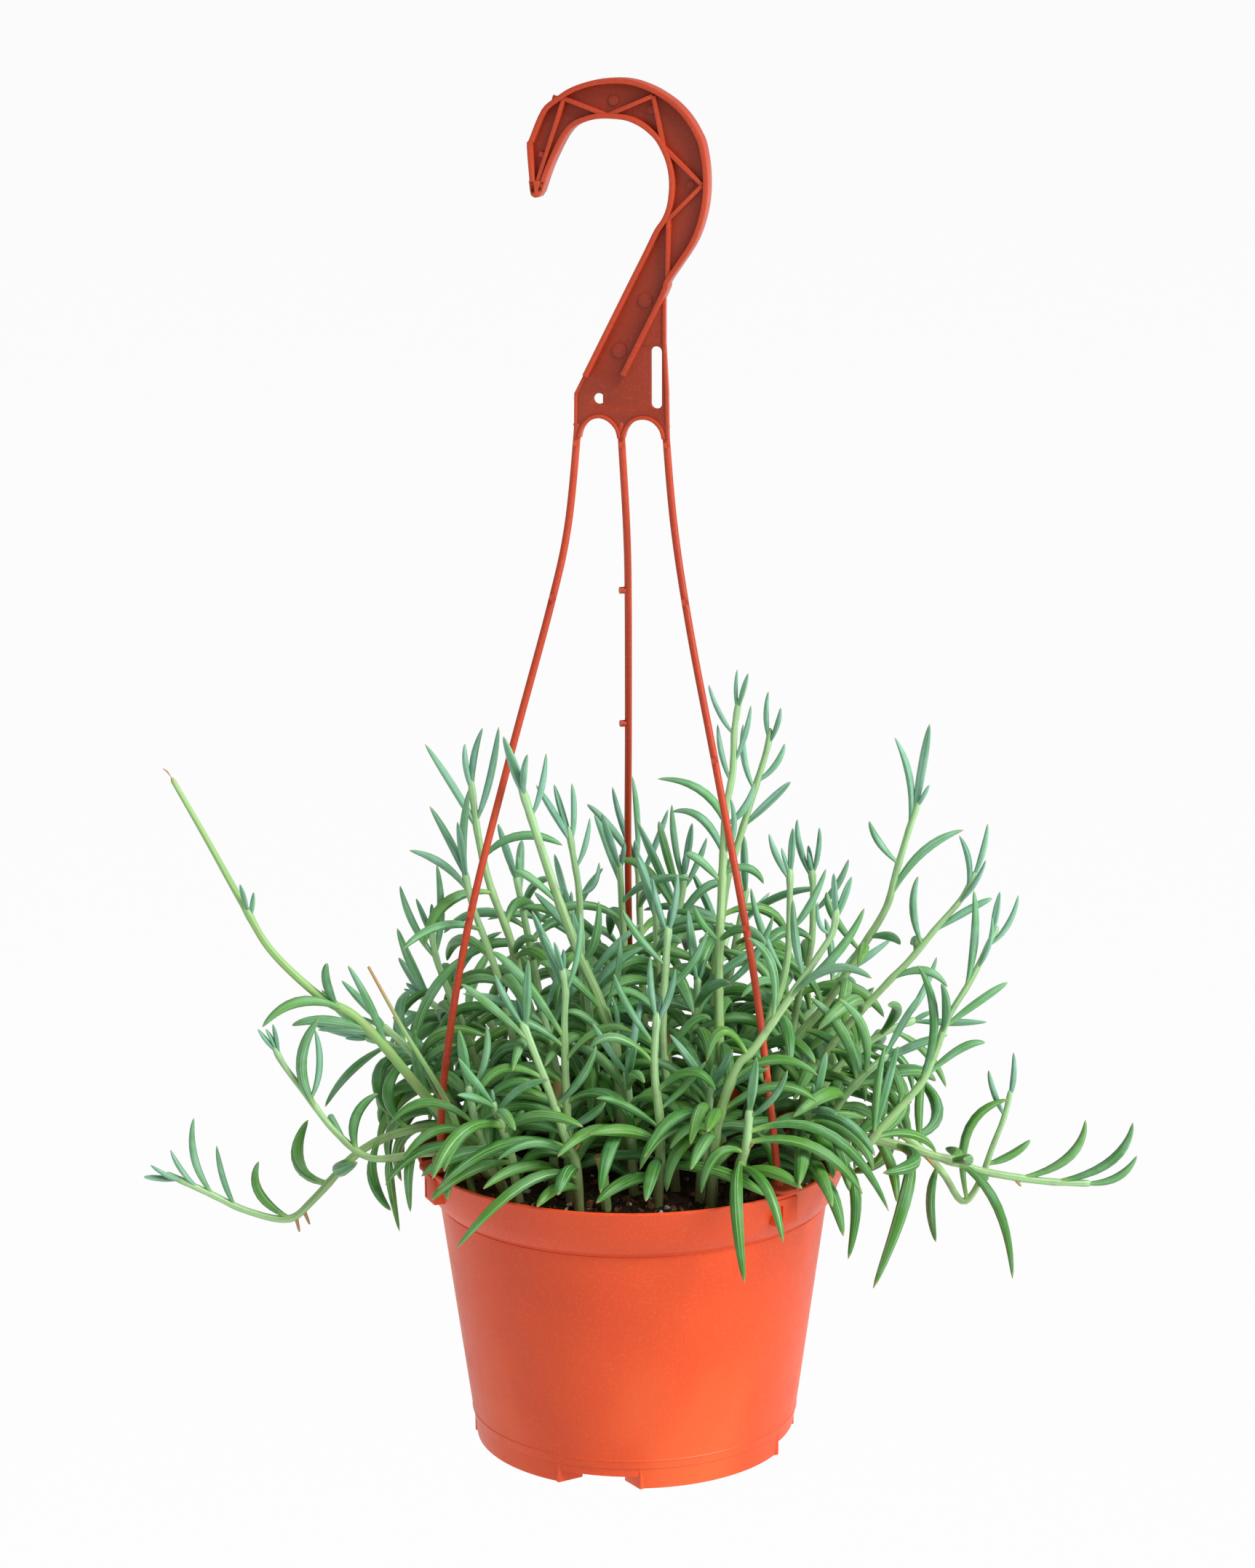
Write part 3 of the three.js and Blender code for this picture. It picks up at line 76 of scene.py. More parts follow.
# Every listed shoot: name, kind, stem points in the pot's frame, stem radii at foot and
# tip, its own leaves (place along the stem, tip x, y, z, arch x, y, z, width) and the rule
# for the rest (first and last place, how many, longest, seed).
SHOOTS = [
    ("flower_stalk_left", "bare", ((-46, -14, 0), (-66, -18, 18), (-90, -22, 49.4), (-104, -22, 58.5),
     (-120, -22, 74.5), (-129, -22, 90.5), (-141, -22, 114), (-151, -22, 133)), 2, 0.9,
     ((0.46, -101.5, -24, 71, -2.5, 0, 1, 5), (0.44, -123, -23, 51, -2, 0, 8, 5.6),
     (0.38, -113.6, -26, 50, -2, -1, 4, 5), (0.33, -95, -20, 69, 1, 0, 1, 4.4),
     (0.71, -129.5, -23, 99, 0, 0, 0, 2.4), (0.7, -125.5, -22, 95, 0, 0, 0, 2.2)), None),
    ("shoot_left_front_small", "leafy", ((-44, -32, 0), (-56, -41, 9), (-70, -44, 11), (-87, -40, 8),
     (-99, -34, 15), (-108, -31, 26), (-116, -30, 37), (-119, -30, 43)), 1.5, 0.9,
     ((0.98, -122, -30, 50, 0, 0, 1, 2.4), (0.97, -119.5, -31, 52, 0, 0, 1, 2.4),
     (0.77, -104, -31, 54, -7, 0, 0, 6.4), (0.8, -106, -27, 49, 3, 0, -1, 4),
     (0.62, -101, -27, 17, -3, 0, 4, 3.6), (0.45, -78.5, -36, -19, -2, -2, 9, 4.8),
     (0.36, -74, -40, -8, -2, -2, 7, 4.4)), None),
    ("trailing_left", "leafy", ((-38, -9, 0), (-55, -11, 7), (-72, -13, 10), (-92, -16, 3),
     (-108, -19, -13), (-117, -20, -20), (-131, -20, -17), (-143, -20, -11), (-153, -20, -6),
     (-157, -20, -4)), 1.7, 1, ((0.97, -164.5, -20, -2, -1, 0, 0, 2.8),
     (0.96, -162, -21, 2.5, 0, 0, -1, 2.8), (0.88, -148, -20, 16, -4, 0, -1, 4.2),
     (0.92, -156, -22, 5.5, -1, 0, -1, 3), (0.82, -140.5, -21, 6.5, -1, 0, -2, 3.6),
     (0.68, -126.5, -20, 0.5, -7, 0, -1, 5.2)), (0.14, 0.55, 6, 32, 11)),
    ("shoot_a", "leafy", ((-26, 12, 0), (-30, 12, 25), (-38, 11, 55), (-42, 10, 71), (-48, 10, 88),
     (-52, 10, 106), (-54, 10, 124)), 1.7, 1.1, ((0.98, -56, 10, 138, -1, 0, 0, 3.6),
     (0.97, -50, 12, 143, -2, 1, 0, 3.6), (0.9, -44.5, 9, 144, 1, 0, -2, 4.4),
     (0.88, -69.5, 10, 138, 2, 0, -2, 4.4)), (0.14, 0.8, 8, 35, 21)),
    ("shoot_b", "leafy", ((-34, -5, 0), (-38, -5, 25), (-44, -5, 55), (-48, -5, 69), (-53.5, -5, 85),
     (-56, -5, 97)), 1.6, 1, ((0.98, -67.5, -5, 120, 2, 0, -2, 4.6), (0.93, -74.5, -6, 105, 2, 0, 3, 4.4),
     (0.98, -54, -4, 126, -2, 0, -1, 4.6), (0.97, -58, -7, 116, 0, 0, 0, 3.2)), (0.19, 0.8, 7, 35, 22)),
    ("shoot_c", "leafy", ((-42, 6, 0), (-50, 6, 15), (-58, 6, 40), (-66, 5, 62), (-68, 4, 74)), 1.5, 1,
     ((0.88, -78.5, 5, 90, -2, 0, -1, 4.2), (0.9, -66, 6, 97, 2, 0, -1, 4.6),
     (0.97, -73, 3, 86, 0, 0, 0, 2.6)), (0.14, 0.7, 6, 33, 23)),
    ("shoot_d", "leafy", ((-2, -28, 0), (-4, -27, 20), (-6, -25, 41), (-11, -22, 57), (-17.5, -20, 72),
     (-24, -20, 90), (-30, -20, 109), (-34.5, -20, 124), (-36, -20, 129)), 2.1, 1.3,
     ((0.97, -42, -20, 147, 0, 0, 0, 4.2), (0.98, -34, -21, 142, -1, 0, 0, 3.8),
     (0.93, -28, -19, 141, 1, 0, -2, 3.6), (0.7, -39, -21, 101, -3, 0, 5, 4.6),
     (0.55, -11, -21, 91, 2, 0, -3, 5), (0.42, -31, -25, 71, -2, -1, 6, 5.2),
     (0.33, -22, -30, 55, -2, -1, 6, 4.6), (0.42, -4, -22, 79, 2, 0, -2, 4),
     (0.33, -7, -27, 60, 2, 0, 0, 3)), (0.08, 0.24, 5, 33, 24)),
    ("shoot_n", "leafy", ((-21, -43, 0), (-22, -42, 25), (-22.5, -39, 52), (-22, -38, 65), (-23, -38, 72)),
     1.6, 1, ((0.98, -29.5, -38, 84, 0, 0, 0, 2.8), (0.98, -25.5, -39, 83, 0, 0, 0, 2.4),
     (0.9, -33, -37, 91, 1, 0, -2, 4.2), (0.7, -46, -40, 79, -2, -1, 7, 5),
     (0.66, -46, -41, 54, -2, -1, 7, 4.8), (0.6, 0, -43, 52, 0, -1, 8, 4.6),
     (0.9, -17, -39, 92, 2, 0, -1, 3.6)), (0.09, 0.5, 6, 33, 25)),
    ("shoot_e", "leafy", ((-12, 6, 0), (-15, 6, 30), (-17, 5, 60), (-17.5, 5, 78), (-18, 5, 89),
     (-20, 5, 102), (-21, 5, 109)), 1.6, 1, ((0.96, -32, 4, 125, 1, 0, -1, 4),
     (0.98, -26, 5, 124, 0, 0, -1, 3.4), (0.96, -20, 6, 125, 1, 0, 0, 3.6),
     (0.8, -11, 4, 98, 2, 0, -3, 3.2), (0.88, -14, 6, 113, 1, 0, -1, 3.2),
     (0.66, -33, 3, 88, 1, 0, -1, 4.4)), (0.09, 0.6, 7, 34, 26)),
    ("shoot_f", "leafy", ((4, 50, 0), (4, 54, 30), (3, 58, 60), (2.5, 59, 78), (2, 59, 86)), 1.6, 1,
     ((0.96, -15.5, 60, 105, -1, 0, 4, 4.4), (0.97, -6.5, 61, 111, -1, 0, 0, 3.8),
     (0.98, 0.5, 60, 115, 1, 0, 0, 3.8), (0.9, 13, 60, 103, 1, 0, 1, 3.8)), (0.14, 0.8, 7, 33, 27)),
    ("shoot_o", "leafy", ((8, 30, 0), (8, 31, 25), (10, 31, 45), (13, 30, 62), (17, 30, 79), (18, 30, 87)),
     2, 1.2, ((0.9, 9.5, 30, 106, -1, 0, 3, 5), (0.86, 2, 30, 106, 0, 0, 0, 3.8),
     (0.97, 14, 29, 112, -1, 0, 0, 4), (0.97, 21, 31, 105, 0, 0, 0, 3.4), (0.93, 26, 30, 100, 1, 0, 0, 3.6),
     (0.84, -4.5, 30, 93, 0, 0, 8, 5.2), (0.78, 34, 33, 82, 1, 0, 9, 5)), (0.14, 0.66, 6, 34, 28)),
    ("shoot_g", "leafy", ((30, -26, 0), (29, -24, 20), (29, -22, 45), (29, -18, 67), (30, -12, 89),
     (31.5, -8, 117), (34, -5, 131), (34.5, -5, 145), (36, -5, 155)), 1.9, 1,
     ((0.98, 35.5, -5, 166, -0.5, 0, 0, 2.4), (0.98, 39, -5, 165.5, 0, 0, 0, 2.4),
     (0.93, 26, -5, 161, -1, 0, -1, 3), (0.87, 40, -6, 154, 1, 0, -1, 3.2),
     (0.83, 29, -3, 147, -1, 0, -1, 3.2), (0.74, 41, -8, 128, 2, 0, -2, 4),
     (0.5, 21, -18, 88, -2, 0, 0, 4.2), (0.4, 47, -22, 86, 3, 0, -3, 4.4),
     (0.62, 18, -10, 104, -2, 0, 4, 4.6), (0.68, 33, -9, 124, 3, 0, -2, 3.4)), (0.08, 0.33, 6, 34, 29)),
    ("shoot_h", "leafy", ((24, 14, 0), (26, 14, 25), (28, 13, 55), (32.5, 12, 89), (36, 12, 101.5),
     (40.5, 12, 116.5), (46, 12, 135), (47, 12, 141)), 1.8, 1, ((0.98, 46.5, 12, 155, -1, 0, 0, 3.2),
     (0.97, 50.5, 13, 150, 1, 0, 0, 3), (0.88, 52, 12, 137, 2, 0, -1, 3.6),
     (0.86, 38, 11, 144, -2, 0, -1, 3.8), (0.7, 9, 12, 125, 6, 0, 9, 4.8),
     (0.66, 14, 14, 113, 2, 0, 9, 4.6), (0.77, 54, 11, 124, 1, 0, 1, 3.8)), (0.08, 0.55, 8, 35, 30)),
    ("shoot_i", "leafy", ((36, -11, 0), (40, -12, 22), (46, -11, 47), (50, -10, 57), (52.5, -10, 70),
     (53, -10, 88), (53, -10, 98)), 1.6, 1, ((0.97, 46, -10, 111, -1, 0, 0, 3.6),
     (0.98, 54, -10, 113, 0, 0, 0, 3.2), (0.8, 65, -11, 99, 1, 0, -2, 4.2),
     (0.66, 40, -9, 92, -2, 0, -1, 4.2)), (0.14, 0.55, 6, 34, 31)),
    ("shoot_p", "leafy", ((26, -49, 0), (27, -53, 20), (33.5, -57, 43), (39, -58, 50), (46.5, -58, 61),
     (61, -58, 83), (65, -58, 90), (66, -58, 97)), 1.9, 1, ((0.78, 52, -59, 101, -1, 0, -1, 4.6),
     (0.93, 60, -58, 100, -2, 0, -3, 2.6), (0.62, 37.5, -58, 88, 5, 0, 6, 4.8),
     (0.74, 75, -59, 98, 3, 0, -2, 4.8), (0.7, 77, -60, 77, 0, 0, 9, 5), (0.5, 24, -63, 48, -2, -2, 13, 5),
     (0.4, 60, -63, 43, 0, -1, 9, 5), (0.3, 60, -60, 33, 2, -2, 10, 5), (0.97, 71, -57, 108, 0, 0, 0, 3.2),
     (0.22, 12, -62, 18, 0, -2, 8, 4.8), (0.98, 65, -60, 110, 0, 0, 0, 2.8)), None),
    ("shoot_j", "leafy", ((46, 18, 0), (52, 18, 20), (58, 16, 50), (61.5, 15, 66), (62, 15, 84),
     (61.5, 15, 92)), 1.6, 1, ((0.97, 56.5, 15, 110, -2, 0, 0, 3.8), (0.98, 64, 15, 107, 1, 0, 0, 3.2),
     (0.85, 74, 14, 96, 2, 0, -1, 4)), (0.14, 0.75, 7, 34, 32)),
    ("shoot_k", "leafy", ((38, 0, 0), (46, 0, 15), (54, 0, 34), (66, 0, 49), (77, 0, 67), (86, 0, 82.5),
     (89, 0, 94), (93.5, 0, 110), (96.5, 0, 119)), 1.8, 1, ((0.97, 100, 0, 146, 0, 0, 0, 4),
     (0.93, 88.5, 2, 141, 3.5, 0, 1, 4.2), (0.75, 112, 2, 109, -2.5, 0, 5, 4.8),
     (0.64, 90.5, -5, 71, 2, 0, 2, 5), (0.6, 66, 1, 88, -4, 0, 2, 4.8), (0.84, 80, -1, 113, -2, 0, 0, 4)),
     (0.14, 0.5, 6, 35, 33)),
    ("shoot_l", "leafy", ((52, -8, 0), (58, -9, 18), (68, -10, 38), (86, -10, 59), (93.5, -10, 67),
     (103, -10, 79), (110.5, -10, 88), (115, -10, 97)), 1.6, 0.9, ((0.98, 119, -10, 114, 1, 0, -1, 3.4),
     (0.95, 109.5, -10, 110, 2.5, 0, 0, 3.6), (0.9, 118, -12, 103, 1, 0, -1, 3),
     (0.75, 96, -10, 96, -3, 0, 1, 4.4), (0.8, 121, -9, 88, 2, 0, 2, 4.2),
     (0.62, 106, -12, 58, 2, 0, 6, 4.6)), (0.14, 0.5, 6, 35, 34)),
    ("shoot_m", "leafy", ((46, -28, 0), (60, -32, 5), (73, -36, 6), (84, -36, 18), (95.5, -35, 31),
     (100.5, -35, 42), (104.5, -35, 54), (112, -35, 67), (117, -35, 78), (120, -35, 84)), 1.6, 0.9,
     ((0.97, 121, -35, 97, 0, 0, 0, 3), (0.95, 127, -36, 96, 2, 0, -2, 3.2),
     (0.82, 112.4, -35, 97.5, 2, 0, 1, 4.6), (0.88, 118, -37, 90, 2, 0, -1, 2.8),
     (0.34, 83.5, -39, 46, -1, 0, 0, 4.4), (0.33, 88, -34, 44, 0, 0, 0, 4),
     (0.68, 101.5, -35, 68, 2, 0, 1, 4.6), (0.52, 94, -34, 73, 7, 0, 2, 5),
     (0.7, 124, -35, 66, 2, 0, 2, 4.4), (0.22, 71, -52, -24, 5, -4, 8, 5.2),
     (0.55, 117, -34, 45, 2, 0, 5, 4.4)), None),
    ("trailing_right", "leafy", ((44, -18, 0), (60, -20, 6), (76, -20, 8), (92, -20, 4), (110, -20, -1.5),
     (118, -20, -4.5), (138, -20, -8), (154, -20, -9)), 1.9, 1.1, ((0.8, 152.5, -20, 13.5, 7, 0, -4, 5),
     (0.9, 168.5, -20, 12.5, 7.5, 0, -4.5, 5), (0.98, 170, -21, 1, 3, 0, -4, 4.2),
     (0.6, 128, -28, -40, 5, -2, 9, 5), (0.46, 80, -42, -38, 6, -6, 12, 6)), (0.09, 0.42, 6, 35, 35)),
    ("loop_right", "leafy", ((50, 2, 0), (68, 2, 6), (90, 1, 3), (105, 0, -10), (113, 0, -22),
     (119, 0, -15), (123, 0, -3), (127, 0, 8), (129, 0, 17)), 1.6, 0.9, ((0.98, 130, 1, 31, 1, 0, -1, 3.4),
     (0.93, 121.5, 0, 25, -1, 0, 0, 3.6), (0.66, 128, -3, 15.5, -9, 0, 9, 5.4),
     (0.78, 136.5, 3, -1, 1, 0, -1.5, 4.6), (0.52, 104, -2, -36, -3, -1, 3, 5),
     (0.45, 101, 8, 26, -2, 1, 2, 5)), (0.14, 0.4, 5, 35, 36)),
    ("front_right_rim", "leafy", ((33, -54, 0), (35, -57, 10), (37, -59, 18), (38, -60, 30)), 1.9, 1.2,
     ((0.5, 35.5, -88, -19, -3, -6, 12, 5.6), (0.45, 48, -86, -6, 2, -5, 9, 4.8),
     (0.7, 75, -62, 2, 3, -3, 11, 5.6), (0.8, 84, -56, -6, 4, -2, 18, 5.6),
     (0.97, 40, -62, 50, 0, 0, 0, 4.2), (0.95, 50, -63, 46, 2, 0, -2, 4.2),
     (0.6, 22, -66, 4, -3, -2, 9, 5)), None),
    ("front_left_rim", "leafy", ((-42, -40, 0), (-48, -44, 9), (-52, -46, 22), (-54, -46, 34)), 1.8, 1.1,
     ((0.4, -82, -50, 2, -2, -2, 12, 5), (0.5, -76, -54, 12, 0, -2, 12, 5),
     (0.3, -36, -58, 26, 2, 0, 6, 4.6), (0.7, -80, -46, 22, -2, 0, 10, 5),
     (0.98, -57, -46, 54, 0, 0, 0, 4.4), (0.95, -48, -47, 56, 3, 0, 0, 4.2),
     (0.8, -30, -50, 34, 2, 0, 9, 5)), None),
    ("front_middle", "leafy", ((8, -48, 0), (9, -50, 20), (7, -51, 42), (8, -51, 60)), 1.8, 1.1,
     ((0.98, 6, -51, 80, -1, 0, 0, 4), (0.96, 14, -52, 76, 1, 0, -1, 4), (0.75, -14, -54, 50, -2, 0, 8, 5),
     (0.6, 27, -56, 36, 2, -1, 9, 5), (0.4, -12, -58, 34, -2, 0, 4, 4.6), (0.2, 43, -66, 3, 2, -2, 5, 6.2),
     (0.85, -6, -50, 74, -2, 0, 0, 4.2), (0.5, 24, -54, 44, 1, 0, 0, 4.4)), None),
    ("front_mid_left", "leafy", ((-18, -53, 0), (-19, -53, 10), (-22, -52, 18), (-29, -49, 38),
     (-36, -46, 56)), 1.7, 1.1, ((0.98, -45, -46, 73, -1, 0, 0, 4), (0.96, -34, -47, 78, 0, 0, 0, 3.8),
     (0.9, -56, -47, 70, -2, 0, 3, 4.6), (0.7, -52, -50, 30, -4, 0, 10, 5),
     (0.32, -64, -63, 5, 0, -2, 12, 5.4), (0.16, -58, -74, -12, 4, -5, 16, 5.2),
     (0.26, -44, -66, 16, 0, -1, 8, 5), (0.55, -12, -58, 52, 3, 0, 0, 4.4),
     (0.42, -9, -58, 34, 2, 0, 0, 4.2)), None),
    ("pale_stem_front", "leafy", ((14, -36, 0), (12, -35, 24), (10, -33, 48), (11, -32, 70), (12, -31, 84)),
     1.7, 1.1, ((0.98, 7, -31, 101, -1, 0, 0, 4), (0.98, 15, -32, 103, 1, 0, 0, 3.8),
     (0.86, -3, -33, 91, -2, 0, 0, 4.2), (0.76, 25, -33, 84, 2, 0, -2, 4.4),
     (0.66, -8, -36, 62, -2, 0, 7, 4.8), (0.5, 26, -36, 54, 2, 0, 8, 4.8)), None),
    ("cut_stem_1", "stub", ((-27, -29, 0), (-26, -29, 18), (-25, -28, 32)), 1.7, 1.5, (), None),
    ("cut_stem_2", "stub", ((12, -6, 0), (12, -6, 22), (11.5, -5, 42)), 1.6, 1.4, (), None),
    ("cut_stem_3", "stub", ((-9, -52, 0), (-10, -53, 7), (-11.5, -54, 13)), 1.7, 1.5, (), None),
    ("dry_stalk", "stub", ((-54, -33, 0), (-60, -36, 22), (-76, -37, 52), (-87, -36, 73)), 1.3, 0.5, (),
     None),
]

# The rest of the clump: foot x, y, top x, y, z, sag of the run, leaves, seed.
CLUMP = [
    (-10, -14, -16, -16, 66, 2, 14, 101), (10, 8, 8, 4, 84, 1, 15, 102), (26, 32, 40, 42, 78, 3, 15, 103),
    (-26, 30, -40, 38, 84, 3, 15, 104), (-12, 44, -22, 62, 66, 4, 14, 105), (22, 52, 34, 76, 52, 5, 14, 136),
    (44, 36, 74, 54, 44, 5, 14, 107), (-42, 34, -74, 50, 38, 5, 14, 108), (-54, 14, -92, 26, 30, 6, 14, 109),
    (56, 18, 98, 30, 34, 6, 14, 110), (-20, -20, -30, -18, 52, 2, 13, 111), (18, -14, 22, -16, 62, 2, 14, 112),
    (-36, 52, -66, 90, 14, 8, 14, 113), (40, 54, 66, 92, 8, 8, 14, 114), (-2, 58, -6, 98, 6, 8, 14, 115),
    (58, -22, 84, -24, 40, 5, 13, 116), (-56, -6, -84, -8, 44, 5, 13, 117), (0, 24, -4, 22, 92, 1, 15, 118),
    (-38, -46, -46, -50, 30, 2, 12, 119), (0, -40, -2, -42, 38, 2, 12, 120),
    (22, -44, 26, -46, 34, 2, 12, 121), (55, -34, 60, -42, 26, 2, 12, 122), (-58, 6, -66, 4, 28, 2, 12, 123),
]

# Bark on the mix: node, seed, size, place, turn.
CHIPS = [
    ("bark_chip_front", 5, (10, 6, 4), (42, -42), 30),
    ("bark_chip_left", 6, (8, 5, 3.4), (-54, -20), 110),
    ("bark_chip_back", 7, (9, 6, 4), (16, 44), -40),
]


# ---------------------------------------------------------------- vectors and runs
def unit(v):
    v = np.asarray(v, float)
    return v / (np.linalg.norm(v) or 1.0)


def clamp(x):
    return min(1.0, max(0.0, x))


def stream(seed):
    """A seeded number stream, the same on every run."""
    low = 0xFFFFFFFF
    a = seed & low

    def draw():
        nonlocal a
        a = (a + 0x6D2B79F5) & low
        t = ((a ^ (a >> 15)) * (a | 1)) & low
        t ^= (t + (((t ^ (t >> 7)) * (t | 61)) & low)) & low
        return (t ^ (t >> 14)) / 4294967296
    return draw


def run_through(points, n):
    """A smooth run through the points, sampled n steps a span."""
    pts = [np.asarray(p, float) for p in points]
    last = len(pts) - 1
    out = []
    for i in range(last):
        a, b, c, d = (pts[min(max(j, 0), last)] for j in (i - 1, i, i + 1, i + 2))
        for k in range(n):
            t = k / n
            out.append(0.5 * (2 * b + (c - a) * t + (2 * a - 5 * b + 4 * c - d) * t * t
                              + (3 * b - a - 3 * c + d) * t ** 3))
    out.append(pts[-1])
    return np.array(out)


def along_run(run, t):
    """The point and direction at share t of a run's length."""
    steps = np.linalg.norm(np.diff(run, axis=0), axis=1)
    want = t * steps.sum()
    for i, d in enumerate(steps):
        if want <= d or i == len(steps) - 1:
            k = min(1.0, want / d)
            return run[i] * (1 - k) + run[i + 1] * k, unit(run[i + 1] - run[i])
        want -= d


def bezier(P, s):
    s = np.asarray(s, float)[:, None]
    r = 1 - s
    return r ** 3 * P[0] + 3 * r * r * s * P[1] + 3 * r * s * s * P[2] + s ** 3 * P[3]


# ---------------------------------------------------------------- how the plant grows
def body_r(z):
    """The pot's outside below the rim band."""
    return BODY_R + (z - BAND_Z) / (BASE_Z - BAND_Z) * (BASE_R - BODY_R)


def outer_r(z):
    return BAND_R + (z - BAND_Z) / -BAND_Z * (RIM_R - BAND_R) if z > BAND_Z else body_r(z)


def soil_top(r):
    return -7 + 3 * (1 - (r / 65) ** 2)


# a leaf is kept clear of its neighbours as a row of balls, this wide along it
LEAF_W = ((0, 0.14, 0.38, 0.62, 0.84, 1), (0.4, 0.6, 0.95, 1, 0.7, 0.03))
BALLS_AT = np.linspace(0, 1, 13)
ROD, CHIP = -1, -2                 # who takes room, besides the shoots


class Room:
    """The room already taken, as balls of stem, leaf and rod."""

    def __init__(self):
        self.n = 0
        self.at = np.zeros((30000, 4))
        self.who = np.zeros(30000, int)

    def take(self, balls, who):
        balls = np.asarray(balls)
        self.at[self.n:self.n + len(balls)] = balls
        self.who[self.n:self.n + len(balls)] = who
        self.n += len(balls)

    def clear(self, balls, who, skip_own):
        """Whether the balls have room. The first few may touch the shoot they grow from."""
        at, own = self.at[:self.n], self.who[:self.n] == who
        for i, b in enumerate(balls):
            if i and not clear_of_pot(b):
                return False
            reach = b[3] + at[:, 3] + np.where(own, -0.4, 0.45)
            hit = ((at[:, :3] - b[:3]) ** 2).sum(axis=1) < reach ** 2
            if (hit & ~own).any() if i < skip_own else hit.any():
                return False
        return True


def clear_of_pot(ball):
    """Whether a ball misses the rim's lip, the mix, and the wall from inside or outside."""
    x, y, z, r = ball
    q = math.hypot(x, y)
    if z > r + 1.6:
        return True
    if math.hypot(q - LIP_R, max(0.0, z)) < r + 1.8:
        return False
    if q < LIP_R:
        return z - r > soil_top(q) + 0.4 and q + r + 0.8 < outer_r(z) - WALL
    return q - r - 0.8 > outer_r(z)


def leaf_balls(P, w):
    widths = np.interp(BALLS_AT, *LEAF_W)
    return np.column_stack([bezier(P, BALLS_AT), np.maximum(0.3, w * widths * 0.47)])


def grow_leaf(row, who, room, foot, T, size, w, young, turn, opens, over):
    """One leaf off the stem, where T is the stem's way: it opens by one angle, then leans
    further over. It takes the first of 14 turns round the stem that has room for it."""
    side0 = unit(np.cross(T, (1, 0, 0) if abs(T[2]) > 0.9 else (0, 0, 1)))
    side1 = np.cross(T, side0)
    for attempt in range(14):
        az, f = turn + attempt * 0.9, 1 - 0.03 * attempt
        A = side0 * math.cos(az) + side1 * math.sin(az)
        d0 = unit(T * math.cos(opens) + A * math.sin(opens))
        end = opens + over * (0.5 if attempt % 3 == 2 else 1)
        d1 = unit(T * math.cos(end) + A * math.sin(end))
        d1 = unit(d1 + (0, 0, -0.35 * (1 - young)))
        dm = unit(d0 + d1)
        P1 = foot + d0 * size * f * 0.36
        P2 = P1 + dm * size * f * 0.34
        P = np.array([foot, P1, P2, P2 + d1 * size * f * 0.34])
        balls = leaf_balls(P, w)
        if room.clear(balls, who, 4):
            row["leaves"].append((P, w, min(1.0, young)))
            room.take(balls, who)
            return


def stand_stem(row, who, room):
    """The stem's run, moved forward or back as a whole until it has room."""
    points = [np.array(p, float) for p in row["points"]]
    points[0][2] = soil_top(math.hypot(points[0][0], points[0][1])) + GAP
    for attempt, push in enumerate((0, 3, -3, 6, -6, 9, -9, 12, -12)):
        moved = [p + (0, push * min(1, i / 2) if i else 0, 0) for i, p in enumerate(points)]
        run = run_through(moved, 5)
        radii = np.linspace(row["r0"], row["r1"], len(run)) + 0.15
        fine = []
        for i in range(len(run)):
            fine.append((*run[i], radii[i]))
            if i + 1 < len(run):
                fine.append((*((run[i] + run[i + 1]) / 2), radii[i]))
        if attempt < 8 and not room.clear(np.array(fine[2:]), who, 0):
            continue
        row["run"] = run
        room.take(fine, who)
        return


def place_own(row, who, room):
    """The leaves listed for this shoot, each moved forward or back until it has room."""
    for t, x, y, z, ax, ay, az, wide in row["own"]:
        w = wide * 0.78
        p0, _ = along_run(row["run"], t)
        for k in (0, -4, 4, -8, 8, -12, 12, -16, 16):
            tip, arch = np.array([x, y + k, z], float), np.array([ax, ay, az], float)
            P = np.array([p0, p0 * 0.67 + tip * 0.33 + arch, p0 * 0.33 + tip * 0.67 + arch, tip])
            balls = leaf_balls(P, w)
            if room.clear(balls, who, 4):
                row["leaves"].append((P, w, clamp((3.9 - w) / 1.3)))
                room.take(balls, who)
                break


def grow_by_rule(row, who, room):
    """Leaves up the stem in a spiral, smaller, narrower and more upright towards its tip."""
    first, last, count, longest, seed = row["rule"]
    for n in range(count):
        draw = stream(seed * 977 + n * 31)
        t = first + (last - first) * (n / (count - 1) if count > 1 else 0)
        p0, T = along_run(row["run"], t)
        young = max(0.0, (t - 0.72) / 0.28)
        size = longest * (0.96 + 0.36 * draw()) * (1 - 0.5 * young)
        w = (4.3 + 0.9 * draw()) * (1 - 0.42 * young)
        turn = n * 2.4 + draw() * 0.8
        opens = 0.75 - 0.42 * young + 0.3 * draw()
        over = (1.2 + 1.1 * draw()) * (1 - young) - 0.2 * young
        grow_leaf(row, who, room, p0, T, size, w, young, turn, opens, over)


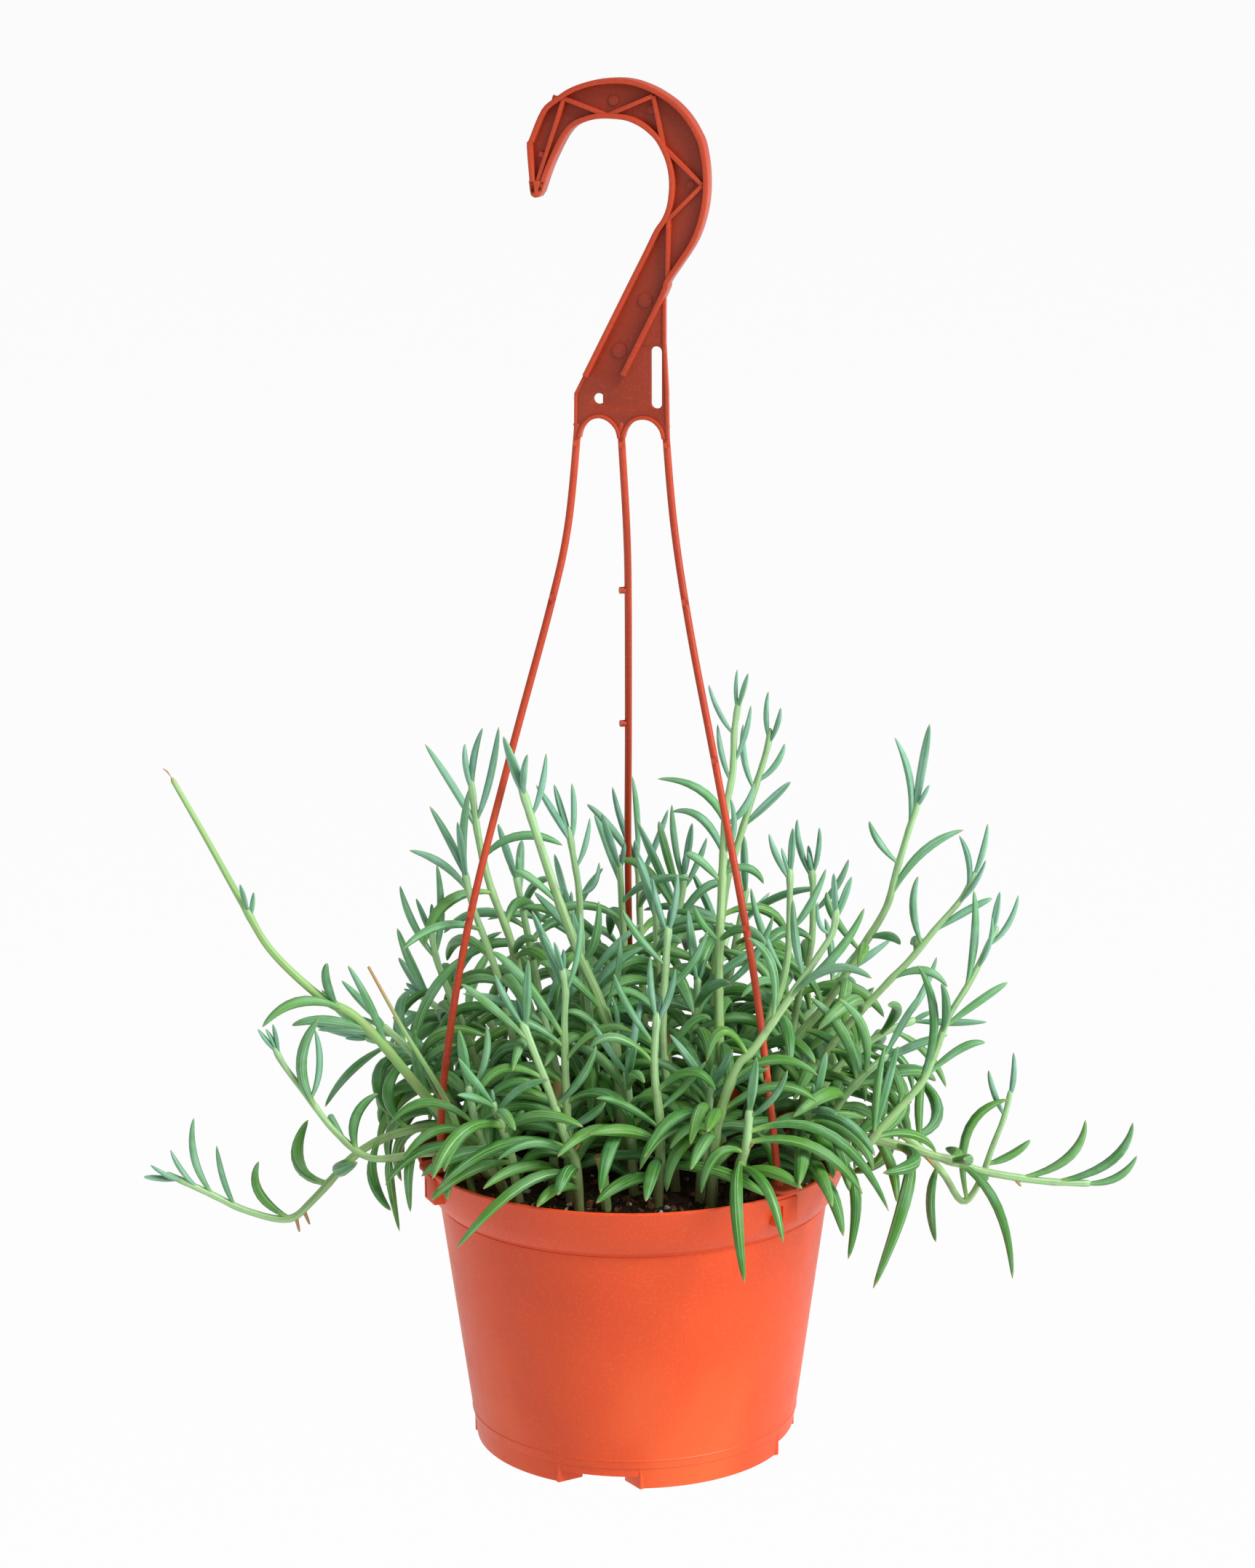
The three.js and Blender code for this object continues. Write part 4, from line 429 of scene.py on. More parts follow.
def grow_shoots():
    room = Room()
    for rod in RODS:
        run = run_through(rod, 14)
        room.take(np.column_stack([run, np.full(len(run), ROD_D / 2 + 0.5)]), ROD)
    for az in ROD_AZ:
        a = az * RAD
        x, y = ROD_SEAT_R * math.sin(a), -ROD_SEAT_R * math.cos(a)
        room.take([(x, y, dz, 7) for dz in (1, -3, -7)], ROD)
    for _, _, size, (x, y), _ in CHIPS:
        room.take([(x, y, soil_top(math.hypot(x, y)) + 2, size[0] / 2 + 0.6)], CHIP)

    keys = ("name", "kind", "points", "r0", "r1", "own", "rule")
    rows = [dict(zip(keys, shoot)) for shoot in SHOOTS]
    for i, (fx, fy, tx, ty, tz, sag, count, seed) in enumerate(CLUMP):
        foot, top = np.array([fx, fy, 0.0]), np.array([tx, ty, tz], float)
        out = np.array([tx - fx, ty - fy, 0.0])
        if tz < 20 and sag > 6:         # over the rim and down
            points = [foot, foot + out * 0.25 + (0, 0, 12), foot + out * 0.62 + (0, 0, 16 + sag), top]
        else:
            points = [foot, foot * 0.7 + top * 0.3 + (0, 0, sag), foot * 0.32 + top * 0.68 + (0, 0, sag), top]
        rule = (0.45 if fy < -38 else 0.1, 0.99, count, 37, seed)
        rows.append(dict(zip(keys, (f"clump_shoot_{i + 1:02d}", "leafy", points, 1.7, 1.0, (), rule))))

    for who, row in enumerate(rows):
        row["leaves"] = []
        stand_stem(row, who, room)
    for who, row in enumerate(rows):
        place_own(row, who, room)
    for who, row in enumerate(rows):
        if row["rule"]:
            grow_by_rule(row, who, room)
    return rows, room


# ---------------------------------------------------------------- nodes
def rgb(code):
    """An sRGB hex colour as linear values."""
    parts = [int(code[i:i + 2], 16) / 255 for i in (0, 2, 4)]
    return [c / 12.92 if c <= 0.04045 else ((c + 0.055) / 1.055) ** 2.4 for c in parts] + [1.0]


def add(tree, kind, links=(), stops=(), **settings):
    """Adds a node. links: socket name or number to a value, a colour or another node's
    output. stops: places and colours along a ramp."""
    node = tree.nodes.new(kind)
    for key, value in settings.items():
        setattr(node, key, value)
    for key, value in dict(links).items():
        if isinstance(value, bpy.types.NodeSocket):
            tree.links.new(value, node.inputs[key])
        elif isinstance(value, str) and node.inputs[key].type == "RGBA":
            node.inputs[key].default_value = rgb(value)
        else:
            node.inputs[key].default_value = value
    if stops:
        ramp = node.color_ramp
        while len(ramp.elements) < len(stops):
            ramp.elements.new(0.5)
        for element, (place, colour) in zip(ramp.elements, stops):
            element.position = place
            element.color = rgb(colour)
    return node


def finish_of(name, **uniform):
    """A new material with its tree, its shader and the values that are the same all over."""
    material = bpy.data.materials.new(name)
    material.use_nodes = True
    shader = material.node_tree.nodes["Principled BSDF"]
    for key, value in uniform.items():
        socket = shader.inputs[key.replace("_", " ")]
        socket.default_value = rgb(value) if isinstance(value, str) else value
    return material, material.node_tree, shader


def coat(tree, shader, body, height, strength, depth, rough=None):
    """Gives the shader its colour, its bump of this depth and a roughness that varies."""
    tree.links.new(body, shader.inputs["Base Color"])
    if rough:
        tree.links.new(rough, shader.inputs["Roughness"])
    bump = add(tree, "ShaderNodeBump", {"Height": height, "Strength": strength, "Distance": depth})
    tree.links.new(bump.outputs["Normal"], shader.inputs["Normal"])


# settings shared by the nodes that mix colours, ease a range, multiply and read vectors
COLOUR = dict(data_type="RGBA")
EASED = dict(interpolation_type="SMOOTHSTEP")
TIMES = dict(operation="MULTIPLY")
VECTOR = dict(data_type="FLOAT_VECTOR")


def moulded_polypropylene(name, base, deep, warm, earth):
    """Moulded polypropylene: satin, and a little light gets into the thin walls. The colour
    drifts faintly where the melt flowed, and the skin has the mould's fine spark grain."""
    material, tree, shader = finish_of(
        name, IOR=1.49, Specular_IOR_Level=0.36, Subsurface_Weight=0.1, Subsurface_Scale=0.0015,
        Subsurface_Radius=(1.0, 0.3, 0.12))
    where = add(tree, "ShaderNodeTexCoord").outputs["Object"]
    # swirls 70 mm across, smudges of 14 mm and a grain of 0.9 mm
    drift, worn, skin = [
        add(tree, "ShaderNodeTexNoise",
            {"Vector": where, "Scale": scale, "Detail": detail, "Roughness": uneven, "Distortion": bent}
            ).outputs["Fac"]
        for scale, detail, uneven, bent in (
            (14.0, 2.0, 0.5, 0.4), (70.0, 6.0, 0.72, 0.0), (1100.0, 2.0, 0.6, 0.0))]
    body = add(tree, "ShaderNodeValToRGB", {"Fac": drift},
               stops=[(0.3, deep), (0.55, base), (0.8, warm)]).outputs["Color"]
    for source, first, last, most, shade in ((skin, 0.5, 0.72, 0.4, warm), (worn, 0.56, 0.8, 0.22, earth)):
        share = add(tree, "ShaderNodeMapRange",
                    {"Value": source, "From Min": first, "From Max": last, "To Max": most}).outputs[0]
        body = add(tree, "ShaderNodeMix", {0: share, 6: body, 7: shade}, **COLOUR).outputs[2]
    rough = add(tree, "ShaderNodeMapRange",
                {"Value": worn, "From Min": 0.3, "From Max": 0.75, "To Min": 0.36, "To Max": 0.5}).outputs[0]
    coat(tree, shader, body, skin, 0.6, 0.00006, rough)
    return material


def streaks(tree, grain, tone, across, lengthwise, first, last, share):
    """Fine lines along a leaf or stem, different on each: how much they cover at each point."""
    own = add(tree, "ShaderNodeVectorMath", {0: (31.0, 17.0, 47.0), "Scale": tone},
              operation="SCALE").outputs[0]
    at = add(tree, "ShaderNodeVectorMath", {0: grain, 1: (across, across, lengthwise), 2: own},
             operation="MULTIPLY_ADD").outputs[0]
    lines = add(tree, "ShaderNodeTexNoise", {"Vector": at, "Scale": 1.0, "Detail": 2.0, "Roughness": 0.55})
    return add(tree, "ShaderNodeMapRange",
               {"Value": lines.outputs["Fac"], "From Min": first, "From Max": last, "To Max": share},
               **EASED).outputs[0]


def living_leaf():
    """A succulent leaf under a waxy cuticle: soft highlights, a pale powdery bloom that is
    bluer on young leaves, fine lengthwise veins and a darker line along the hollow side."""
    material, tree, shader = finish_of(
        "Succulent leaf, waxy cuticle", IOR=1.45, Specular_IOR_Level=0.45, Subsurface_Weight=0.12,
        Subsurface_Scale=0.0012, Subsurface_Radius=(0.5, 1.0, 0.35))
    where = add(tree, "ShaderNodeTexCoord").outputs["Object"]
    grain, life = [add(tree, "ShaderNodeAttribute", attribute_name=key).outputs["Vector"]
                   for key in ("grain", "life")]
    side = add(tree, "ShaderNodeSeparateXYZ", {0: grain}).outputs
    fresh, tone, _ = add(tree, "ShaderNodeSeparateXYZ", {0: life}).outputs
    body = add(tree, "ShaderNodeValToRGB", {"Fac": fresh},
               stops=[(0.0, "447F26"), (0.3, "548F3C"), (0.62, "649F68"), (1.0, "78AE94")]).outputs["Color"]
    # no two leaves are quite one green
    hue, value = [add(tree, "ShaderNodeMapRange", {"Value": tone, "To Min": low, "To Max": high}).outputs[0]
                  for low, high in ((0.482, 0.514), (1.22, 0.78))]
    body = add(tree, "ShaderNodeHueSaturation",
               {"Hue": hue, "Saturation": 1.04, "Value": value, "Color": body}).outputs["Color"]
    # veins, dark and pale, about 0.8 mm apart
    dark = streaks(tree, grain, tone, 2.8, 0.7, 0.47, 0.62, 0.5)
    pale = streaks(tree, grain, tone, 5.0, 0.9, 0.54, 0.66, 0.5)
    # bloom: a powder in patches of about 12 mm, thicker on young leaves
    dust = add(tree, "ShaderNodeTexNoise",
               {"Vector": where, "Scale": 85.0, "Detail": 4.0, "Roughness": 0.6}).outputs["Fac"]
    patch = add(tree, "ShaderNodeMapRange", {"Value": dust, "From Min": 0.4, "From Max": 0.68, "To Min": 0.03,
                                             "To Max": 0.42}, **EASED).outputs[0]
    thick = add(tree, "ShaderNodeMapRange",
                {"Value": fresh, "From Min": 0.1, "From Max": 0.9, "To Min": 0.3, "To Max": 1.0}).outputs[0]
    bloom = add(tree, "ShaderNodeMath", {0: patch, 1: thick}, **TIMES).outputs[0]
    hollow, foot, tip = [
        add(tree, "ShaderNodeMapRange",
            {"Value": side[axis], "From Min": first, "From Max": last, "To Max": most}, **EASED).outputs[0]
        for axis, first, last, most in (
            ("X", -0.8, -1.0, 0.55), ("Z", 0.17, 0.0, 0.7), ("Z", 0.95, 1.0, 0.75))]
    for share, shade in ((dark, "2E6020"), (pale, "A9D39A"), (bloom, "A6CFC0"), (hollow, "346A2C"),
                         (foot, "A2C86A"), (tip, "A89C66")):
        body = add(tree, "ShaderNodeMix", {0: share, 6: body, 7: shade}, **COLOUR).outputs[2]
    rough = add(tree, "ShaderNodeMapRange",
                {"Value": dust, "From Min": 0.3, "From Max": 0.7, "To Min": 0.34, "To Max": 0.52}).outputs[0]
    ridges = streaks(tree, grain, tone, 2.8, 0.7, 0.35, 0.65, 1.0)
    coat(tree, shader, body, ridges, 0.5, 0.00015, rough)
    return material


def living_stem(name, foot, middle, top, blush, blush_share):
    """A young succulent stem: smooth and pale, duller and browner towards its foot, with
    fine lengthwise lines, and brown where it has withered."""
    material, tree, shader = finish_of(
        name, IOR=1.45, Specular_IOR_Level=0.4, Subsurface_Weight=0.12, Subsurface_Scale=0.001,
        Subsurface_Radius=(0.6, 1.0, 0.35))
    where = add(tree, "ShaderNodeTexCoord").outputs["Object"]
    grain, life = [add(tree, "ShaderNodeAttribute", attribute_name=key).outputs["Vector"]
                   for key in ("grain", "life")]
    height, tone, withered = add(tree, "ShaderNodeSeparateXYZ", {0: life}).outputs
    body = add(tree, "ShaderNodeValToRGB", {"Fac": height},
               stops=[(0.0, foot), (0.3, middle), (1.0, top)]).outputs["Color"]
    # 7 mm blotches, more of them towards the foot
    blotch = add(tree, "ShaderNodeTexNoise",
                 {"Vector": where, "Scale": 140.0, "Detail": 4.0, "Roughness": 0.65}).outputs["Fac"]
    patch = add(tree, "ShaderNodeMapRange",
                {"Value": blotch, "From Min": 0.48, "From Max": 0.7, "To Max": blush_share},
                **EASED).outputs[0]
    lower = add(tree, "ShaderNodeMapRange", {"Value": height, "To Min": 1.0, "To Max": 0.35}).outputs[0]
    blushed = add(tree, "ShaderNodeMath", {0: patch, 1: lower}, **TIMES).outputs[0]
    lines = streaks(tree, grain, tone, 2.4, 0.7, 0.48, 0.64, 0.4)
    for share, shade in ((blushed, blush), (lines, "557F42"), (withered, "AE8A5E")):
        body = add(tree, "ShaderNodeMix", {0: share, 6: body, 7: shade}, **COLOUR).outputs[2]
    rough = add(tree, "ShaderNodeMapRange", {"Value": blotch, "From Min": 0.3, "From Max": 0.7,
                                             "To Min": 0.38, "To Max": 0.56}).outputs[0]
    coat(tree, shader, body, lines, 0.5, 0.00015, rough)
    return material


def dead_fibre(name, pale, dark, grit, size):
    """Bark, perlite or potting mix: matt, broken and mottled, with no shine."""
    material, tree, shader = finish_of(name, Roughness=0.92, Specular_IOR_Level=0.25)
    where = add(tree, "ShaderNodeTexCoord").outputs["Object"]
    coarse, fine = [
        add(tree, "ShaderNodeTexNoise", {"Vector": where, "Scale": scale, "Detail": detail,
                                         "Roughness": rough}).outputs["Fac"]
        for scale, detail, rough in ((size, 6.0, 0.7), (size * 5, 3.0, 0.6))]
    body = add(tree, "ShaderNodeValToRGB", {"Fac": coarse},
               stops=[(0.34, dark), (0.62, pale), (0.78, grit)]).outputs["Color"]
    pits = add(tree, "ShaderNodeMapRange", {"Value": fine, "From Min": 0.5, "From Max": 0.7, "To Max": 0.4},
               **EASED).outputs[0]
    body = add(tree, "ShaderNodeMix", {0: pits, 6: body, 7: dark}, **COLOUR).outputs[2]
    coat(tree, shader, body, coarse, 0.8, 0.0005)
    return material


POT = moulded_polypropylene("Orange polypropylene, moulded", "DE4C1B", "D24318", "EA622F", "A85230")
HANGER = moulded_polypropylene("Brick-orange polypropylene, moulded", "B84022", "AA381C", "CC5634", "7A3422")
# the hanger's plastic made darker for its web and the pin rounds on it: painted shade for the recess between
# the flanges
WEB_SHADE_PAINTED = moulded_polypropylene("Brick-orange polypropylene, web darkened by painted shade",
                             "98341A", "8A2C14", "AC452A", "6A2E1E")
LEAF = living_leaf()
STEM = living_stem("Green stem, smooth bark", "727A48", "98BC78", "A6CE98", "86746A", 0.6)
STALK = living_stem("Flower stalk, smooth", "86B05C", "90BC6C", "9CC280", "B09A78", 0.45)
# the last number is the noise's scale: 330 gives 3 mm crumbs, 260 4 mm flakes, 500 2 mm grains
MIX = dead_fibre("Potting mix, damp peat", "4A3423", "1E140E", "6E5238", 330.0)
BARK = dead_fibre("Pine bark, broken", "7C5638", "3E2818", "A27B54", 260.0)
PERLITE = dead_fibre("Perlite, expanded", "D8D2C4", "B4AB9A", "ECE8DE", 500.0)


# ---------------------------------------------------------------- meshes
def mesh_piece(name, verts, faces, finishes, face_finish=None, vectors=None, at=(0, 0, 0), smooth=35):
    """A piece from points in millimetres, moved by at, with named vectors on its points."""
    mesh = bpy.data.meshes.new(name)
    pts = (np.asarray(verts, float) + np.asarray(at, float)) * MM
    mesh.from_pydata(pts.tolist(), [], faces)
    for finish in finishes:
        mesh.materials.append(finish)
    if face_finish is not None:
        mesh.polygons.foreach_set("material_index", np.asarray(face_finish, np.int32))
    for key, values in (vectors or {}).items():
        layer = mesh.attributes.new(key, "FLOAT_VECTOR", "POINT")
        layer.data.foreach_set("vector", np.asarray(values, np.float32).ravel())
    soften(mesh, smooth)
    mesh.update()
    return put_in_scene(name, mesh)


def soften(mesh, degrees):
    """Smooth shading, broken at edges sharper than this; 0 breaks none."""
    mesh.polygons.foreach_set("use_smooth", [True] * len(mesh.polygons))
    if degrees:
        mesh.set_sharp_from_angle(angle=degrees * RAD)


def put_in_scene(name, data):
    piece = bpy.data.objects.new(name, data)
    bpy.context.scene.collection.objects.link(piece)
    return piece


def settle(name, piece):
    """The piece's modifiers made into its mesh, as a new object at the origin."""
    graph = bpy.context.evaluated_depsgraph_get()
    mesh = bpy.data.meshes.new_from_object(piece.evaluated_get(graph))
    mesh.name = name
    mesh.transform(piece.matrix_world)
    old = piece.data
    bpy.data.objects.remove(piece)
    if old.users == 0:
        (bpy.data.curves if isinstance(old, bpy.types.Curve) else bpy.data.meshes).remove(old)
    return put_in_scene(name, mesh)


def hold(piece, slot, *nodes):
    """The piece rides on the part and stands for its nodes, which are hidden."""
    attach(piece, "root")
    if nodes:
        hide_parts(*nodes)


def lathe(profile, segments):
    """Points and faces of a turned shape whose profile starts and ends on the axis."""
    verts, faces, rings = [], [], []
    for r, z in profile:
        if r < 1e-6:
            rings.append([len(verts)])
            verts.append((0, 0, z))
        else:
            rings.append(list(range(len(verts), len(verts) + segments)))
            for k in range(segments):
                a = 2 * math.pi * k / segments
                verts.append((r * math.cos(a), r * math.sin(a), z))
    for lower, upper in zip(rings, rings[1:]):
        for k in range(segments):
            j = (k + 1) % segments
            if len(lower) == 1 and len(upper) == 1:
                continue
            if len(lower) == 1:
                faces.append((lower[0], upper[j], upper[k]))
            elif len(upper) == 1:
                faces.append((lower[k], lower[j], upper[0]))
            else:
                faces.append((lower[k], lower[j], upper[j], upper[k]))
    return verts, faces


def extend(bm, verts, faces):
    made = [bm.verts.new(v) for v in verts]
    for face in faces:
        bm.faces.new([made[i] for i in face])
    return bm


def turned(profile, segments, at):
    """A lathe shape as a bmesh, in millimetres."""
    bm = extend(bmesh.new(), *lathe(profile, segments))
    bmesh.ops.translate(bm, vec=at, verts=bm.verts)
    return bm


def rounded_box(size, at, turn, edge):
    """A box with rounded edges, as a bmesh in millimetres, turned about the axis once placed."""
    bm = bmesh.new()
    bmesh.ops.create_cube(bm, size=1)
    bmesh.ops.scale(bm, vec=size, verts=bm.verts)
    if edge:
        bmesh.ops.bevel(bm, geom=bm.edges[:], offset=edge, segments=2, affect="EDGES", profile=0.5)
    bmesh.ops.translate(bm, vec=at, verts=bm.verts)
    bmesh.ops.rotate(bm, cent=(0, 0, 0), matrix=Matrix.Rotation(turn, 3, "Z"), verts=bm.verts)
    return bm


def joined(name, bms, finishes, at=(0, 0, 0), smooth=35):
    """One piece out of several bmeshes."""
    verts, faces, marks = [], [], []
    for bm in bms:
        bm.verts.index_update()
        base = len(verts)
        verts += [tuple(v.co) for v in bm.verts]
        faces += [[base + v.index for v in f.verts] for f in bm.faces]
        marks += [f.material_index for f in bm.faces]
        bm.free()
    return mesh_piece(name, verts, faces, finishes, marks, at=at, smooth=smooth)


def finish_all(bm, index):
    for face in bm.faces:
        face.material_index = index
    return bm


# ---------------------------------------------------------------- Geometry Nodes
def new_tree(name, **inputs):
    """A tree that takes a geometry and these named inputs, each with what it starts at."""
    tree = bpy.data.node_groups.new(name, "GeometryNodeTree")
    kinds = {int: "NodeSocketInt", float: "NodeSocketFloat", type(None): "NodeSocketMaterial"}
    ids = {}
    tree.interface.new_socket("Geometry", in_out="INPUT", socket_type="NodeSocketGeometry")
    for label, start in inputs.items():
        item = tree.interface.new_socket(label, in_out="INPUT", socket_type=kinds[type(start)])
        if start is not None:
            item.default_value = start
        ids[label] = item.identifier
    tree.interface.new_socket("Geometry", in_out="OUTPUT", socket_type="NodeSocketGeometry")
    return tree, ids, add(tree, "NodeGroupInput").outputs


def drive(piece, tree, ids, **values):
    """Puts a tree on a piece, with its named inputs set by their identifiers."""
    modifier = piece.modifiers.new(tree.name, "NODES")
    modifier.node_group = tree
    for label, value in values.items():
        modifier[ids[label]] = value


def made_real(tree, shapes, finish):
    """The end of each tree: the shapes as plain mesh, with their finish on."""
    real = add(tree, "GeometryNodeRealizeInstances", {"Geometry": shapes}).outputs[0]
    return add(tree, "GeometryNodeSetMaterial", {"Geometry": real, "Material": finish}).outputs[0]


def swept_tree():
    """Sweeps a round section along runs of points. half is the half-width at each point and
    facing the way the section's top looks; the section can be flattened and grooved."""
    tree, ids, given = new_tree("Swept run", Sides=12, Flatness=1.0, Groove=0.0, Finish=None)
    runs = add(tree, "GeometryNodeMeshToCurve", {"Mesh": given["Geometry"]}).outputs[0]
    facing = add(tree, "GeometryNodeInputNamedAttribute", {"Name": "facing"}, **VECTOR).outputs["Attribute"]
    faced = add(tree, "GeometryNodeSetCurveNormal", {"Curve": runs, "Normal": facing}, mode="FREE").outputs[0]
    ring = add(tree, "GeometryNodeCurvePrimitiveCircle", {"Resolution": given["Sides"], "Radius": 1.0},
               mode="RADIUS").outputs["Curve"]
    turn = add(tree, "GeometryNodeSplineParameter").outputs["Factor"]
    marked = add(tree, "GeometryNodeStoreNamedAttribute", {"Geometry": ring, "Name": "turn", "Value": turn},
                 data_type="FLOAT", domain="POINT").outputs[0]
    at = add(tree, "ShaderNodeSeparateXYZ", {0: add(tree, "GeometryNodeInputPosition").outputs[0]}).outputs
    # the groove is a dent where the section's x is lowest, which is the leaf's hollow side
    near = add(tree, "ShaderNodeMapRange",
               {"Value": at["X"], "From Min": -1.0, "From Max": -0.8, "To Min": 1.0, "To Max": 0.0},
               **EASED).outputs["Result"]
    dent = add(tree, "ShaderNodeMath", {0: near, 1: given["Groove"]}, **TIMES).outputs[0]
    flat = add(tree, "ShaderNodeMath", {0: at["X"], 1: given["Flatness"], 2: dent},
               operation="MULTIPLY_ADD").outputs[0]
    outline = add(tree, "ShaderNodeCombineXYZ", {"X": flat, "Y": at["Y"], "Z": 0.0}).outputs[0]
    shaped = add(tree, "GeometryNodeSetPosition", {"Geometry": marked, "Position": outline}).outputs[0]
    half = add(tree, "GeometryNodeInputNamedAttribute", {"Name": "half"},
               data_type="FLOAT").outputs["Attribute"]
    skin = add(tree, "GeometryNodeCurveToMesh",
               {"Curve": faced, "Profile Curve": shaped, "Scale": half, "Fill Caps": True}).outputs[0]
    add(tree, "NodeGroupOutput", {"Geometry": made_real(tree, skin, given["Finish"])})
    return tree, ids


def pins_tree():
    """A short round pin on each point, standing along the point's facing, half wide."""
    tree, ids, given = new_tree("Mould pin marks", Sides=16, Height=0.001, Taper=0.85, Finish=None)
    pin = add(tree, "GeometryNodeMeshCone", {"Vertices": given["Sides"], "Radius Top": given["Taper"],
                                             "Radius Bottom": 1.0, "Depth": given["Height"]}).outputs["Mesh"]
    facing = add(tree, "GeometryNodeInputNamedAttribute", {"Name": "facing"}, **VECTOR).outputs["Attribute"]
    spun = add(tree, "FunctionNodeAlignRotationToVector", {"Vector": facing}, axis="Z").outputs[0]
    wide = add(tree, "GeometryNodeInputNamedAttribute", {"Name": "half"},
               data_type="FLOAT").outputs["Attribute"]
    size = add(tree, "ShaderNodeCombineXYZ", {"X": wide, "Y": wide, "Z": 1.0}).outputs[0]
    put = add(tree, "GeometryNodeInstanceOnPoints",
              {"Points": given["Geometry"], "Instance": pin, "Rotation": spun, "Scale": size}).outputs[0]
    add(tree, "NodeGroupOutput", {"Geometry": made_real(tree, put, given["Finish"])})
    return tree, ids


def scatter_tree():
    """Crumbs on the upward faces: small broken lumps, turned and sized by chance."""
    tree, ids, given = new_tree("Crumbs", Density=1000.0, Smallest=0.0004, Largest=0.0012, Flatness=0.7,
                                Seed=1, Finish=None)
    seed = given["Seed"]
    up = add(tree, "ShaderNodeSeparateXYZ", {0: add(tree, "GeometryNodeInputNormal").outputs[0]}).outputs["Z"]
    top = add(tree, "FunctionNodeCompare", {0: up, 1: 0.3},
              data_type="FLOAT", operation="GREATER_THAN").outputs[0]
    spots = add(tree, "GeometryNodeDistributePointsOnFaces",
                {"Mesh": given["Geometry"], "Selection": top, "Density": given["Density"],
                 "Seed": seed}).outputs[0]
    lump = add(tree, "GeometryNodeMeshIcoSphere", {"Radius": 1.0, "Subdivisions": 1}).outputs[0]
    rough = add(tree, "ShaderNodeTexNoise", {"Scale": 1.3}, noise_dimensions="3D").outputs["Color"]
    off = add(tree, "ShaderNodeVectorMath", {0: rough, 1: (0.5, 0.5, 0.5)}, operation="SUBTRACT").outputs[0]
    push = add(tree, "ShaderNodeVectorMath", {0: off, "Scale": 1.6}, operation="SCALE").outputs[0]
    broken = add(tree, "GeometryNodeSetPosition", {"Geometry": lump, "Offset": push}).outputs[0]
    spin = add(tree, "FunctionNodeRandomValue", {0: (0, 0, 0), 1: (FULL_TURN,) * 3, "Seed": seed},
               **VECTOR).outputs[0]
    size = add(tree, "FunctionNodeRandomValue", {2: given["Smallest"], 3: given["Largest"], "Seed": seed},
               data_type="FLOAT").outputs[1]
    thin = add(tree, "ShaderNodeMath", {0: size, 1: given["Flatness"]}, **TIMES).outputs[0]
    wide = add(tree, "ShaderNodeCombineXYZ", {"X": size, "Y": thin, "Z": thin}).outputs[0]
    put = add(tree, "GeometryNodeInstanceOnPoints",
              {"Points": spots, "Instance": broken, "Rotation": spin, "Scale": wide}).outputs[0]
    both = add(tree, "GeometryNodeJoinGeometry")
    for share in (given["Geometry"], made_real(tree, put, given["Finish"])):
        tree.links.new(share, both.inputs[0])
    add(tree, "NodeGroupOutput", {"Geometry": both.outputs[0]})
    return tree, ids


def run_object(name, runs):
    """Runs of points as one mesh of edges. Each run is a dict of points, half, facing, along
    and life, which its points carry, with mark for the run's number."""
    counts = [len(run["points"]) for run in runs]
    carried = {key: np.concatenate([run[key] for run in runs]) for key in ("half", "along")}
    carried["half"] = carried["half"] * MM
    carried["mark"] = np.repeat(range(len(runs)), counts)
    for key in ("facing", "life"):
        carried[key] = np.vstack([run[key] for run in runs])
    edges, base = [], 0
    for n in counts:
        edges += [(k, k + 1) for k in range(base, base + n - 1)]
        base += n
    mesh = bpy.data.meshes.new(name)
    mesh.from_pydata((np.vstack([run["points"] for run in runs]) * MM).tolist(), edges, [])
    for key, values in carried.items():
        kind, field = ("FLOAT", "value") if values.ndim == 1 else ("FLOAT_VECTOR", "vector")
        mesh.attributes.new(key, kind, "POINT").data.foreach_set(field, values.astype(np.float32).ravel())
    return put_in_scene(name, mesh)


def swept(name, runs, tree, ids, **values):
    """The skins of all the runs: points, faces, the run each point is from, and the vectors
    grain and life."""
    piece = run_object(name, runs)
    drive(piece, tree, ids, **values)
    piece = settle(name, piece)
    mesh = piece.data
    co, life = [np.zeros(len(mesh.vertices) * 3, np.float32) for _ in range(2)]
    mesh.vertices.foreach_get("co", co)
    mesh.attributes["life"].data.foreach_get("vector", life)
    one = {}
    for key in ("along", "mark", "turn"):
        one[key] = np.zeros(len(mesh.vertices), np.float32)
        mesh.attributes[key].data.foreach_get("value", one[key])
    around = one["turn"] * 2 * math.pi
    grain = np.column_stack([np.cos(around), np.sin(around), one["along"]])
    faces = [tuple(p.vertices) for p in mesh.polygons]
    bpy.data.objects.remove(piece)
    return co.reshape(-1, 3) / MM, faces, np.rint(one["mark"]).astype(int), grain, life.reshape(-1, 3)


# ---------------------------------------------------------------- the plant
SWEEP, SWEEP_IDS = swept_tree()
PINS, PINS_IDS = pins_tree()
IN_POT = np.array([AXIS_X, 0.0, RIM_Z])

# the leaf's half-width along it: a narrow foot that clasps the stem, fullest past the
# middle, and a short soft point
LEAF_AT = np.array([0, 0.03, 0.08, 0.15, 0.24, 0.34, 0.44, 0.54, 0.64, 0.73, 0.81, 0.875, 0.925, 0.965, 1])
LEAF_HALF = np.array([0.42, 0.44, 0.5, 0.62, 0.78, 0.91, 0.985, 1, 0.96, 0.87, 0.74, 0.61, 0.47, 0.31, 0.05])

ROOTED = 3.0                       # how deep a stem's foot goes into the mix
ROOT_R = 62.5                      # the mix is whole this far out: a foot beyond roots back under its edge
LINES_EVERY = 33.0                 # a stem's lines repeat over this length, as a leaf's do over its own

